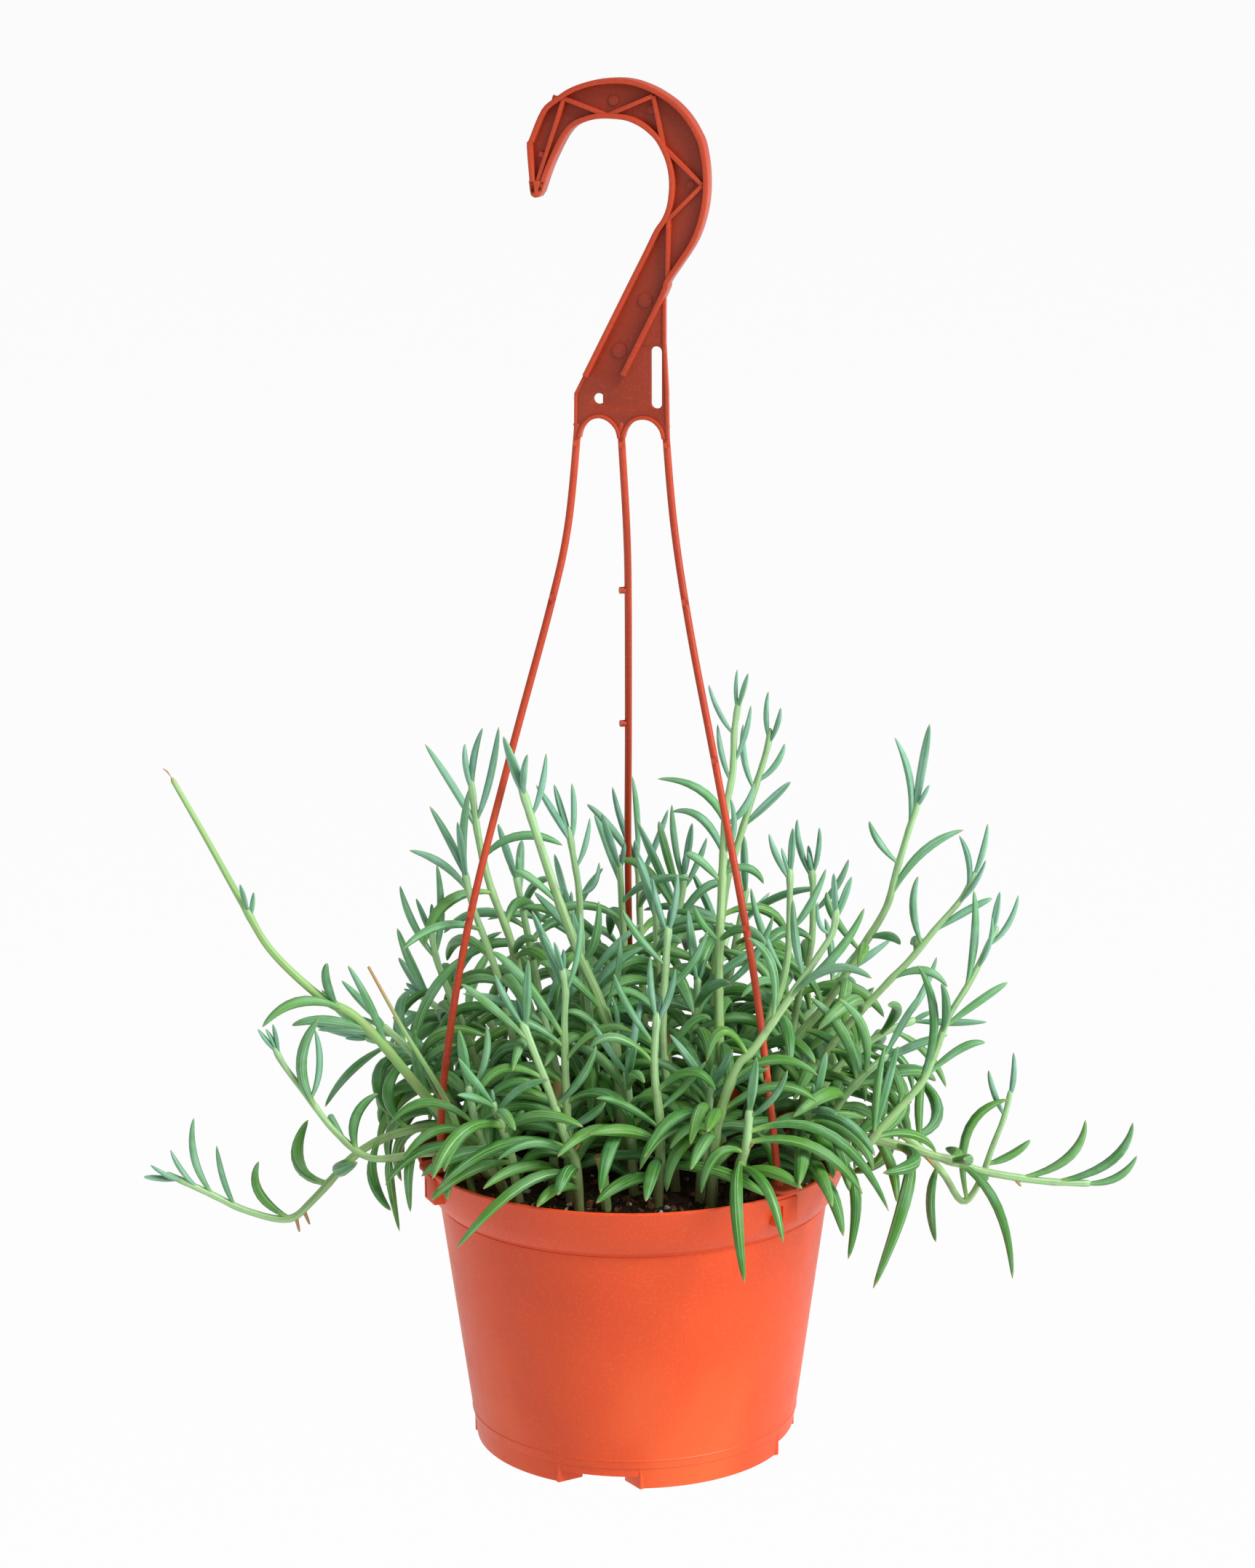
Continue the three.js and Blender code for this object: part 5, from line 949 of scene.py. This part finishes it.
# where short dry stubs stand on the stems: place along the stem and the stub's own run
DRY_STUBS = {
    "trailing_left": ((0.665, (1.2, -1, -5.2)), (0.64, (2, -0.5, -5))),
    "trailing_right": ((0.5, (4, -2, -4)), (0.78, (2.5, -1, -3))),
    "shoot_left_front_small": ((0.3, (-1, -2.6, -2.4)),),
    "front_mid_left": ((0.3, (2.6, -1.6, 3.6)),),
    "front_middle": ((0.14, (-2.4, -3.4, 0.8)),),
    "front_right_rim": ((0.62, (2.8, -2.2, 3.4)), (0.3, (-2.8, -2.4, 1.6))),
    "pale_stem_front": ((0.3, (-2.4, -3.2, 1.6)),),
    "shoot_p": ((0.25, (-2.2, -2.8, 2.4)),),
}


def across(run):
    """A vector across the run at each point, turned no more than the run itself turns."""
    last = len(run) - 1
    ways = np.array([unit(run[min(i + 1, last)] - run[max(i - 1, 0)]) for i in range(len(run))])
    side = unit(np.cross(ways[0], (1, 0, 0) if abs(ways[0][0]) < 0.8 else (0, 1, 0)))
    out = []
    for T in ways:
        side = unit(side - T * side.dot(T))
        out.append(side)
    return out


def leaf_run(P, w, age, tone):
    """One leaf as a run. It faces the way it bulges; a straight one faces up or forward.
    Its life is how fresh it looks: young, high and far-out leaves are the bluest."""
    points = bezier(P, LEAF_AT)
    chord, bulge = P[3] - P[0], (P[1] + P[2]) / 2 - (P[0] + P[3]) / 2
    side = np.cross(chord, bulge)
    bent = np.linalg.norm(side) > 1e-6 * chord.dot(chord) + 0.3
    side = unit(side if bent else np.cross(chord, (0, 1, 0)))
    facing = [unit(np.cross(side, unit(T))) for T in np.gradient(points, axis=0)]
    swell = 1 + 0.035 * np.sin(LEAF_AT * 9 + tone * 20)
    far_out = clamp((math.hypot(P[3][0], P[3][1]) - 85) / 75)
    fresh = clamp(0.12 + 0.5 * age + 0.5 * (P[3][2] - 12) / 110 + 0.3 * far_out + 0.16 * (tone - 0.5))
    return dict(points=points, half=w / 2 * LEAF_HALF * swell, facing=facing, along=LEAF_AT,
                life=[(fresh, tone, 0)] * len(points))


def stem_run(row, tone):
    """The stem as a run, rooted in the mix, a little thicker where each leaf leaves it. Its
    life is the place up it, its tone and how withered it is."""
    run = row["run"]
    steps = np.concatenate([[0], np.cumsum(np.linalg.norm(np.diff(run, axis=0), axis=1))])
    share = steps / steps[-1]
    fine = np.linspace(0, 1, max(len(run) * 2, 24))
    points = np.column_stack([np.interp(fine, share, run[:, k]) for k in range(3)])
    half = row["r0"] + (row["r1"] - row["r0"]) * fine
    for P, w, _ in row["leaves"]:
        near = np.linalg.norm(points - P[0], axis=1)
        half *= 1 + 0.1 * np.exp(-(near / 2.2) ** 2)
    root = points[0] - (0, 0, ROOTED)
    root[:2] *= min(1.0, ROOT_R / np.hypot(*root[:2]))
    points = np.vstack([root, points])
    half, fine = np.append(half[0], half), np.append(0, fine)
    if row["kind"] != "stub":       # the growing tip closes to a point
        way = unit(points[-1] - points[-2])
        points = np.vstack([points, points[-1] + way * 0.9, points[-1] + way * 1.5])
        half, fine = np.append(half, [half[-1] * 0.62, 0.12]), np.append(fine, [1, 1])
    dry = np.zeros(len(fine))
    if row["kind"] == "stub":       # a stub withers from its broken end
        dry = np.clip((fine - 0.72) / 0.2, 0, 1)
    if row["kind"] == "bare":       # the withered end of the stalk
        points = np.vstack([points, points[-1] + (-1.2, 0, 1.9), points[-1] + (-2.6, 0.2, 2.9)])
        half, fine, dry = np.append(half, [0.3, 0.16]), np.append(fine, [1, 1]), np.append(dry, [1, 1])
        dry[-5:-2] = 0.2, 0.7, 1
    return dict(points=points, half=half, facing=across(points), along=fine * steps[-1] / LINES_EVERY,
                life=[(t, tone, d) for t, d in zip(fine, dry)])


def dry_ends(row):
    """What is left where old side shoots broke off: short dry stubs beside the stem."""
    out = []
    for t, way in DRY_STUBS.get(row["name"], ()):
        foot, _ = along_run(row["run"], t)
        points = np.array([foot + np.array(way) * k for k in (0, 0.4, 0.8, 1)])
        out.append(dict(points=points, half=np.array([0.8, 0.62, 0.5, 0.25]), facing=across(points),
                        along=np.linspace(0, 0.2, 4), life=[(0.2, 0.5, 1)] * 4))
    return out


def fill_in(row, who, room):
    """The small leaves still closed round a shoot's growing tip, short inner ones lower down
    where there is room for them, and at the front broad ones that lie low over the mix."""
    draw = stream(4001 + who * 53)
    run = row["run"]
    tip, T = along_run(run, 0.985)
    for _ in range(3):
        grow_leaf(row, who, room, tip, T, size=6.5 + 4 * draw(), w=1.7 + 0.7 * draw(), young=1.0,
                  turn=draw() * FULL_TURN, opens=0.3, over=-0.1)
    in_front = run[0][1] < -34
    for n in range(4 if in_front else 0):
        foot, T = along_run(run, 0.1 + 0.09 * n + 0.05 * draw())
        grow_leaf(row, who, room, foot, T, size=26 + 12 * draw(), w=4.5 + 0.8 * draw(), young=0.0,
                  turn=draw() * FULL_TURN, opens=0.85 + 0.35 * draw(), over=0.45 + 0.5 * draw())
    for _ in range(0 if in_front else 5 if row["name"].startswith("clump") else 2):
        foot, T = along_run(run, 0.12 + 0.66 * draw())
        grow_leaf(row, who, room, foot, T, size=18 + 12 * draw(), w=3.5 + 0.9 * draw(), young=0.0,
                  turn=draw() * FULL_TURN, opens=0.6 + 0.4 * draw(), over=0.9 + 0.9 * draw())


rows, room = grow_shoots()
leaf_runs, leaf_of, stem_runs, stem_of = [], [], [], []
for who, row in enumerate(rows):
    draw = stream(900 + who)
    if row["kind"] == "leafy":
        fill_in(row, who, room)
    for P, w, age in row["leaves"]:
        leaf_runs.append(leaf_run(P, w, age, draw()))
        leaf_of.append(who)
    stems = [stem_run(row, draw())] + dry_ends(row)
    stem_runs += stems
    stem_of += [who] * len(stems)

leaf_skin = swept("leaves", leaf_runs, SWEEP, SWEEP_IDS, Sides=12, Flatness=0.84, Groove=0.2, Finish=LEAF)
stem_skin = swept("stems", stem_runs, SWEEP, SWEEP_IDS, Sides=12, Flatness=1.0, Groove=0.0, Finish=STEM)

# the skins, shared out among the shoots
parts = [dict(verts=[], faces=[], finish=[], grain=[], life=[]) for _ in rows]
for skin, owner, which in ((stem_skin, stem_of, 0), (leaf_skin, leaf_of, 1)):
    co, faces, mark, grain, life = skin
    who_of = np.array(owner)[mark]
    for who, part in enumerate(parts):
        mine = np.nonzero(who_of == who)[0]
        part["number"] = {int(v): len(part["verts"]) + i for i, v in enumerate(mine)}
        for key, values in (("verts", co), ("grain", grain), ("life", life)):
            part[key] += values[mine].tolist()
    for face in faces:
        part = parts[who_of[face[0]]]
        part["faces"].append([part["number"][v] for v in face])
        part["finish"].append(which)

BARK_AND_SLOT = {"leafy": (STEM, "succulent_leaf"), "bare": (STALK, "pale_stem"), "stub": (STALK, "dry_stem")}
for row, part in zip(rows, parts):
    bark, slot = BARK_AND_SLOT[row["kind"]]
    piece = mesh_piece(row["name"] + "_grown", part["verts"], part["faces"], [bark, LEAF], part["finish"],
                       dict(grain=part["grain"], life=part["life"]), at=IN_POT, smooth=50)
    hold(piece, slot, row["name"])


# ---------------------------------------------------------------- the potting mix
def rough_mix():
    """The mix as one lumpy block, with crumbs, bark and perlite on its top."""
    top = [(r, soil_top(r)) for r in np.linspace(0, 63.2, 30)[::-1]]
    profile = [(0, BASE_Z + 2.4), (BASE_R - WALL - 3, BASE_Z + 2.4), (BASE_R - WALL - 0.9, BASE_Z + 4.5),
               (BODY_R - WALL - 1.1, BAND_Z - 2), (BODY_R - WALL - 0.9, soil_top(64) - 1.2)] + top
    verts, faces = lathe(profile, 110)
    draw = stream(77)
    shift = Vector((draw() * 50, draw() * 50, draw() * 50))
    for i, (x, y, z) in enumerate(verts):
        if z > soil_top(64) - 0.6:
            lumps = noise.fractal(Vector((x, y, 0)) / 9 + shift, 0.8, 2.2, 4)
            verts[i] = (x, y, z + 1.1 * lumps - 0.5)
    piece = mesh_piece("potting_mix_block", verts, faces, [MIX], at=IN_POT, smooth=0)
    tree, ids = scatter_tree()
    for finish, density, smallest, largest, flatness, seed in (
            (PERLITE, 9000.0, 0.0008, 0.0016, 0.85, 3),
            (BARK, 26000.0, 0.0012, 0.0034, 0.4, 5),
            (MIX, 150000.0, 0.0004, 0.0012, 0.75, 8)):
        drive(piece, tree, ids, Density=density, Smallest=smallest, Largest=largest, Flatness=flatness,
              Seed=seed, Finish=finish)
    return settle("potting_mix", piece)


hold(rough_mix(), "potting_mix", "soil")

for node, seed, size, (x, y), turn in CHIPS:
    bm = bmesh.new()
    bmesh.ops.create_icosphere(bm, subdivisions=4, radius=0.5)
    for v in bm.verts:
        flake = noise.fractal(v.co * 2.3 + Vector((seed, 0, 0)), 0.9, 2.1, 5)
        layer = 0.06 * math.sin(v.co.z * 34 + 2.5 * noise.noise(v.co * 2))
        v.co *= 1 + 0.2 * flake + layer
        v.co = Vector((v.co.x * size[0] * 0.86, v.co.y * size[1] * 0.86, v.co.z * size[2] * 0.8))
    bmesh.ops.rotate(bm, cent=(0, 0, 0), matrix=Matrix.Rotation(turn * RAD, 3, "Z"), verts=bm.verts)
    lies_at = IN_POT + (x, y, soil_top(math.hypot(x, y)) + size[2] * 0.4)
    hold(joined(node + "_flaked", [bm], [BARK], at=lies_at, smooth=40), "bark", node)


# ---------------------------------------------------------------- the pot
FEET_AZ = (-13, 77, 167, 257)      # the notches in the foot ring, degrees from the front
NOTCH = 2 * FOOT_R * math.sin(15.5 * RAD)
HOLE_R, HOLES_R = 3.6, 36.0        # six drain holes and the ring they stand on
MIDDLE_HOLE_R = 5.0


def pot_profile():
    """The pot's outline from the middle of its underside out, up to the rim and down inside."""
    foot = [(FOOT_R - 2.7, BASE_Z - 0.2), (FOOT_R - 2.4, BASE_Z - 0.6), (FOOT_R - 2.4, FOOT_Z + 0.4),
            (FOOT_R - 2.0, FOOT_Z), (FOOT_R - 0.4, FOOT_Z), (FOOT_R, FOOT_Z + 0.4),
            (BASE_R - 0.45, BASE_Z - 0.3), (BASE_R - 0.1, BASE_Z + 0.1)]

    def witness(z, proud):      # a fine raised line where the mould's pieces meet
        return [(body_r(z - 0.32), z - 0.32), (body_r(z) + proud, z - 0.14), (body_r(z) + proud, z + 0.14),
                (body_r(z + 0.32), z + 0.32)]
    side = [*witness(BASE_Z + 3.0, 0.16), *((body_r(z), z) for z in (-80, -60, -40, -26)),
            *witness(BAND_Z - 1.9, 0.22)]
    band = [(BODY_R + 0.02, BAND_Z - 0.35), (BODY_R + 0.3, BAND_Z - 0.12), (BAND_R - 0.3, BAND_Z),
            (BAND_R + 0.05, BAND_Z + 0.35), (BAND_R + 2.1, -11.3), (BAND_R + 4.2, -6.0), (RIM_R - 0.7, -1.4),
            (RIM_R - 0.42, -0.75), (RIM_R - 0.5, -0.3), (RIM_R - 0.85, -0.05), (RIM_R - 1.2, -0.05),
            (RIM_R - 1.6, -0.3), (RIM_R - WALL - 0.1, -0.9)]
    inside = [(BAND_R - WALL, BAND_Z), (BODY_R - WALL - 0.2, BAND_Z - 1.5),
              (BASE_R - WALL + 0.1, BASE_Z + 3.2), (BASE_R - WALL - 0.6, BASE_Z + 2.2),
              (BASE_R - WALL - 2, BASE_Z + 1.8), (0, BASE_Z + 1.8)]
    return [(0, BASE_Z - 0.2)] + foot + side + band + inside


def cut(piece, other, how):
    modifier = piece.modifiers.new(how.lower(), "BOOLEAN")
    modifier.operation, modifier.solver, modifier.object = how, "EXACT", other
    done = settle(piece.name, piece)
    bpy.data.objects.remove(other)
    return done


def pot_moulding():
    """The wall and base, less the sockets, their slits, the notches and the drain holes, with
    a boss round each socket and an end wall each side of each notch."""
    bosses, cuts, ends = [], [], []
    for az in ROD_AZ:
        bosses.append(rounded_box((9.6, 5.2, 9.2), (0, -ROD_SEAT_R, -6.4), az * RAD, 0.5))
        cuts.append(rounded_box((4.2, 3.0, 8.2), (0, -ROD_SEAT_R, -3), az * RAD, 0))
        cuts.append(rounded_box((1.2, 4.0, 6.4), (-2.9, -RIM_R - 1, -7), az * RAD, 0))
    for az in FEET_AZ:
        cuts.append(rounded_box((NOTCH, 14, 8.4), (0, -FOOT_R, FOOT_Z + 0.3), az * RAD, 0.5))
    holes = [(0, 0, MIDDLE_HOLE_R, 32)]
    for a in range(30, 390, 60):
        holes.append((HOLES_R * math.cos(a * RAD), HOLES_R * math.sin(a * RAD), HOLE_R, 24))
    for x, y, r, segments in holes:
        cuts.append(turned([(0, 0), (r, 0), (r, 8), (0, 8)], segments, at=(x, y, BASE_Z - 3)))
    for az in FEET_AZ:
        for side in (-1, 1):
            end = rounded_box((9.6, 1.8, 7.9), (0, 0, 0), -side * 43.7 * RAD, 0.3)
            place = Matrix.Rotation(az * RAD, 4, "Z") @ Matrix.Translation((side * 11.3, -49.8, FOOT_Z + 4))
            bmesh.ops.transform(end, matrix=place, verts=end.verts)
            ends.append(end)

    verts, faces = lathe(pot_profile(), 144)
    pot = mesh_piece("pot_wall", verts, faces, [POT], smooth=0)
    for name, boxes, how in (("pot_bosses", bosses, "UNION"), ("pot_cuts", cuts, "DIFFERENCE"),
                             ("foot_ends", ends, "UNION")):
        pot = cut(pot, joined(name, boxes, [POT]), how)
    pot.data.transform(Matrix.Translation(Vector(IN_POT) * MM))
    soften(pot.data, 28)
    return pot


hold(pot_moulding(), "pot_plastic", "pot")

# ---------------------------------------------------------------- the hanger
# The hook's edges, seen from the front, x to the right and z up, from the saddle.
OUTER = [
    (-25.3, -24.4), (-26.4, -9.2), (-25.6, -6.6), (-21.4, 2.8), (-16.7, 6.8), (-11.5, 10), (-4.5, 12.2),
    (3.1, 12.9), (9, 12.3), (15, 10.2), (20.7, 6.9), (24.6, 3.6), (27.6, 0), (30, -4), (31.8, -8.3),
    (33.1, -16.8), (32.9, -26), (31, -34.3), (28.3, -40.5), (24, -47), (20.2, -52.6), (18.7, -57)]
LEG_RIGHT = [(18.6, -72), (19.4, -88), (19.6, -104)]
ARCH_R = [(17.2, -104), (16.4, -101), (14, -98.4), (11, -97.6), (8, -98.4), (5.7, -101), (4.8, -104)]
ARCH_L = [(2.4, -104), (1.6, -101), (-0.8, -98.4), (-3.8, -97.4), (-6.8, -98.4), (-9, -101), (-9.9, -104)]
LEG_LEFT = [(-12.2, -104), (-12, -89.4)]
INNER = [
    (-7.5, -80.7), (-1.8, -69.5), (6.6, -53), (12, -42.5), (15.5, -35.5), (18.1, -31.7), (19.8, -27),
    (20.4, -20), (19.3, -13.5), (16.5, -7.6), (13.8, -4.6), (10.6, -2.3), (6.6, -0.6), (2, 0), (-2.5, 0),
    (-6.4, -0.8), (-10.4, -2.4), (-13, -5), (-15.5, -9.2), (-18.8, -16.1), (-21.6, -23.9)]
OUTER_FLANGE_END = (5.4, -83.3)    # the outer flange crosses the plate and stops here
INNER_FLANGE_START = (-8.7, -83.0)
ZIGZAG = [(-23.7, -22), (-14.2, 6.4), (0, 1), (15.2, 7.4), (18.4, -9), (31.2, -21), (20, -32), (19.6, -52.4)]
TIP = [(-25.5, -23.4), (-25.1, -24.8), (-24.0, -25.5), (-22.6, -25.3), (-21.5, -23.6), (-20.3, -20.0),
       (-25.9, -20.0)]
FLASH = [(-19.6, 3.0), (-15.2, 6.6), (-18.2, 7.4)]
PIN_ROUNDS = [(1.9, 5.8, 1.68), (14.3, 2.9, 1.45), (27.0, -20.9, 1.3), (11.9, -58.5, 2.35), (3.2, -75.0, 2.4)]
SLOT_R, SLOT_X, SLOT_TOP, SLOT_FOOT = 1.45, 15.5, -75.3, -92.2
HOLE_X, HOLE_Z = -3.7, -91.0
TURNED = Matrix.Rotation(TURN * RAD, 4, "Z") @ Matrix.Rotation(math.pi / 2, 4, "X")

# from the rim up, a rod's round seat and the collar over its foot
SEAT = [(0, 0), (5.2, 0), (5.6, 0.3), (5.6, 1.2), (5.25, 1.5), (0, 1.5)]
COLLAR = [(0, 0), (2.4, 0), (2.0, 0.7), (1.55, 2.2), (1.3, 4.6), (0, 4.6)]
BACK_NUBS_AZ = 16                  # the back rod's nubs point this far off the x axis


def smooth_run(points, n=4):
    return [tuple(p) for p in run_through([(x, y, 0) for x, y in points], n)[:, :2]]


def beside(run, d):
    """The points of a run moved to the left of its way by d."""
    pts = np.array(run, float)
    ways = np.gradient(pts, axis=0)
    ways /= np.maximum(1e-9, np.linalg.norm(ways, axis=1))[:, None]
    return [tuple(p) for p in pts + np.column_stack([-ways[:, 1], ways[:, 0]]) * d]


def plate(loops, depth, edge, inset=0.0):
    """A flat plate with round edges from closed loops in x and y, the first its outline and
    the rest holes, drawn in by the inset, stood up and turned with the hook."""
    curve = bpy.data.curves.new("plate", "CURVE")
    curve.dimensions, curve.fill_mode = "2D", "BOTH"
    curve.extrude, curve.offset = depth / 2 - edge, -edge - inset
    curve.bevel_depth, curve.bevel_resolution = edge, 1
    for loop in loops:
        spline = curve.splines.new("POLY")
        spline.points.add(len(loop) - 1)
        for point, (x, y) in zip(spline.points, loop):
            point.co = (x, y, 0, 1)
        spline.use_cyclic_u = True
    piece = settle("plate", put_in_scene("plate", curve))
    bm = bmesh.new()
    bm.from_mesh(piece.data)
    bpy.data.objects.remove(piece)
    bmesh.ops.remove_doubles(bm, verts=bm.verts, dist=1e-4)
    bmesh.ops.recalc_face_normals(bm, faces=bm.faces)
    bmesh.ops.transform(bm, matrix=TURNED, verts=bm.verts)
    return bm


def strip(run, width, depth, edge=0.28):
    """A plate along the run, on the left of its way, or on the right where width is negative."""
    return plate([list(run) + beside(run, width)[::-1]], depth, edge)


def circle(x, y, r, n, first=0, last=360):
    turns = [(first + (last - first) * k / n) * RAD for k in range(n)]
    return [(x + r * math.cos(a), y + r * math.sin(a)) for a in turns]


def hook_plates():
    """The hook and its plate: a thin web between two flanges, with a zigzag of ribs."""
    outline = smooth_run(OUTER) + LEG_RIGHT + ARCH_R + ARCH_L + LEG_LEFT + smooth_run(INNER)
    slot = circle(SLOT_X, SLOT_TOP, SLOT_R, 12, 0, 180) + circle(SLOT_X, SLOT_FOOT, SLOT_R, 12, 180, 360)
    hole = [p for p in circle(HOLE_X, HOLE_Z, SLOT_R, 28) if p[0] < HOLE_X + 1.1]
    # the web's edge stays inside the flanges
    # the web takes finish 1, the darker orange that paints the shade of its recess
    bms = [finish_all(plate([outline, slot, hole], WEB, 0.25, inset=0.35), 1),
           strip(smooth_run(OUTER + [OUTER_FLANGE_END]), -FLANGE, HOOK_DEPTH),
           strip(smooth_run([INNER_FLANGE_START] + INNER), -FLANGE, HOOK_DEPTH),
           plate([TIP], HOOK_DEPTH, 0.3)]
    bms += [strip(smooth_run(arch), -1.25, 3.6, 0.3) for arch in (ARCH_R, ARCH_L)]
    bms += [strip(beside([a, b], -RIB / 2), RIB, HOOK_DEPTH - 1.2) for a, b in zip(ZIGZAG, ZIGZAG[1:])]
    # the thin rails along the plate's legs
    legs = [OUTER[-1]] + LEG_RIGHT, LEG_LEFT + [INNER_FLANGE_START]
    bms += [strip(leg, -1.1, 2.6, 0.25) for leg in legs]
    # a broken gate on the hook's tip, and the flash beside the first rib
    bms += [plate([circle(-21.9, -11.6, 1.0, 12)], 4.4, 0.3), plate([FLASH], 1.4, 0.2)]
    return bms


def rod_foot(seat, foot, a):
    """A rod's round seat on the rim, the collar over its foot and its tongue in the socket."""
    tongue = rounded_box((3.2, 1.9, 5.4), (0, 0, -1.6), a, 0.3)
    bmesh.ops.translate(tongue, vec=seat, verts=tongue.verts)
    collar = turned(COLLAR, 24, at=(foot[0], foot[1], RIM_Z + 1.4))
    return [turned(SEAT, 40, at=seat + (0, 0, 0.5)), collar, tongue]


def hanger_moulding():
    bms, runs, pins = hook_plates(), [], []

    def pin(at, half, way):
        pins.append(dict(points=[at], half=[half], facing=[way], along=[0], life=[(0, 0, 0)]))

    for n, rod in enumerate(RODS):
        points = np.array(rod, float)
        points = np.vstack([points[0] + (0, 0, 4.6), points])        # on up into the plate
        run = run_through(points, 9) + IN_POT
        runs.append(dict(points=run, half=np.full(len(run), ROD_D / 2), facing=across(run),
                         along=np.linspace(0, 8, len(run)), life=[(0.5, 0.5, 0)] * len(run)))
        a = ROD_AZ[n] * RAD
        seat = IN_POT + (ROD_SEAT_R * math.sin(a), -ROD_SEAT_R * math.cos(a), 0)
        bms += rod_foot(seat, IN_POT + np.array(rod[-1]), a)
        # four nubs along each rod, and one at its head
        front = np.array((0, -1.0, 0))
        back = np.array((-math.cos(BACK_NUBS_AZ * RAD), -math.sin(BACK_NUBS_AZ * RAD), 0))
        away = back if n == 2 else front
        for t in (0.23, 0.44, 0.66, 0.86):
            pin(along_run(run, t)[0] + away * 0.95, 1.2, away)
        pin(along_run(run, 0.025)[0] + front * 0.95, 1.1, front)
    # the rounds the ejector pins left on the web, standing 0.5 mm proud of it, in the web's darker orange,
    # which is painted shade
    bms += [finish_all(plate([circle(x, z, r, 24)], WEB + 1.0, 0.15), 1) for x, z, r in PIN_ROUNDS]

    hanger = joined("hanger_moulding", bms, [HANGER, WEB_SHADE_PAINTED], smooth=0)
    nubs = run_object("nubs", pins)
    drive(nubs, PINS, PINS_IDS, Sides=24, Height=2.04 * MM, Taper=0.93, Finish=HANGER)
    nubs = settle("nubs", nubs)
    co, faces, *_ = swept("rods", runs, SWEEP, SWEEP_IDS, Sides=20, Flatness=0.94, Groove=0.0, Finish=HANGER)
    bm = bmesh.new()
    bm.from_mesh(hanger.data)
    extend(bm, co * MM, faces)
    extend(bm, [v.co[:] for v in nubs.data.vertices], [tuple(p.vertices) for p in nubs.data.polygons])
    bpy.data.objects.remove(nubs)
    bm.to_mesh(hanger.data)
    bm.free()
    soften(hanger.data, 32)
    return hanger


hold(hanger_moulding(), "hanger_plastic", "hanger")


# ---------------------------------------------------------------- floor, light, camera
MIDDLE = (0.0, 0.0, -0.28)         # what the lamps look at, in metres
EYE = (0.0048, -1.3, 0.078)
LOOKS_DOWN, ROLL = 12.95, -0.34    # degrees the camera looks down and leans


def pale_floor():
    """A plain pale floor, matt, far enough below the hung pot that no shadow shows."""
    material, _, _ = finish_of("Pale matt floor paint", Roughness=0.9, Base_Color="F9F9F8",
                               Specular_IOR_Level=0.2)
    bpy.ops.mesh.primitive_plane_add(size=300, location=(0, 0, -3.0))
    floor = bpy.context.object
    floor.name = "floor"
    floor.data.materials.append(material)


def lamp(name, kind, at, towards, energy, **settings):
    data = bpy.data.lights.new(name, kind)
    data.energy = energy
    for key, value in settings.items():
        setattr(data, key, value)
    piece = put_in_scene(name, data)
    piece.location = at
    piece.rotation_euler = (Vector(at) - Vector(towards)).to_track_quat("Z", "Y").to_euler()


def camera():
    data = bpy.data.cameras.new("camera")
    data.sensor_width, data.lens = 36.0, 91.2
    eye = put_in_scene("camera", data)
    eye.matrix_world = (Matrix.Translation(EYE) @ Matrix.Rotation((90 - LOOKS_DOWN) * RAD, 4, "X")
                        @ Matrix.Rotation(ROLL * RAD, 4, "Z"))
    bpy.context.scene.camera = eye


def studio():
    """The light from all round: as pale as the floor where it is seen, and half as bright
    where it only lights the pot."""
    world = bpy.data.worlds.new("studio")
    world.use_nodes = True
    tree = world.node_tree
    sky = tree.nodes["Background"]
    sky.inputs["Color"].default_value = rgb("FAFBFC")
    seen = add(tree, "ShaderNodeLightPath").outputs["Is Camera Ray"]
    bright = add(tree, "ShaderNodeMapRange", {"Value": seen, "To Min": 0.5, "To Max": 1.0}).outputs[0]
    tree.links.new(bright, sky.inputs["Strength"])
    bpy.context.scene.world = world
    bpy.context.scene.view_settings.view_transform = "Standard"


pale_floor()
camera()
lamp("daylight", "SUN", (1.6, -1.25, 1.9), MIDDLE, 2.4, angle=24 * RAD)
lamp("key", "AREA", (1.25, -0.75, 0.2), MIDDLE, 11, shape="DISK", size=0.8)
studio()
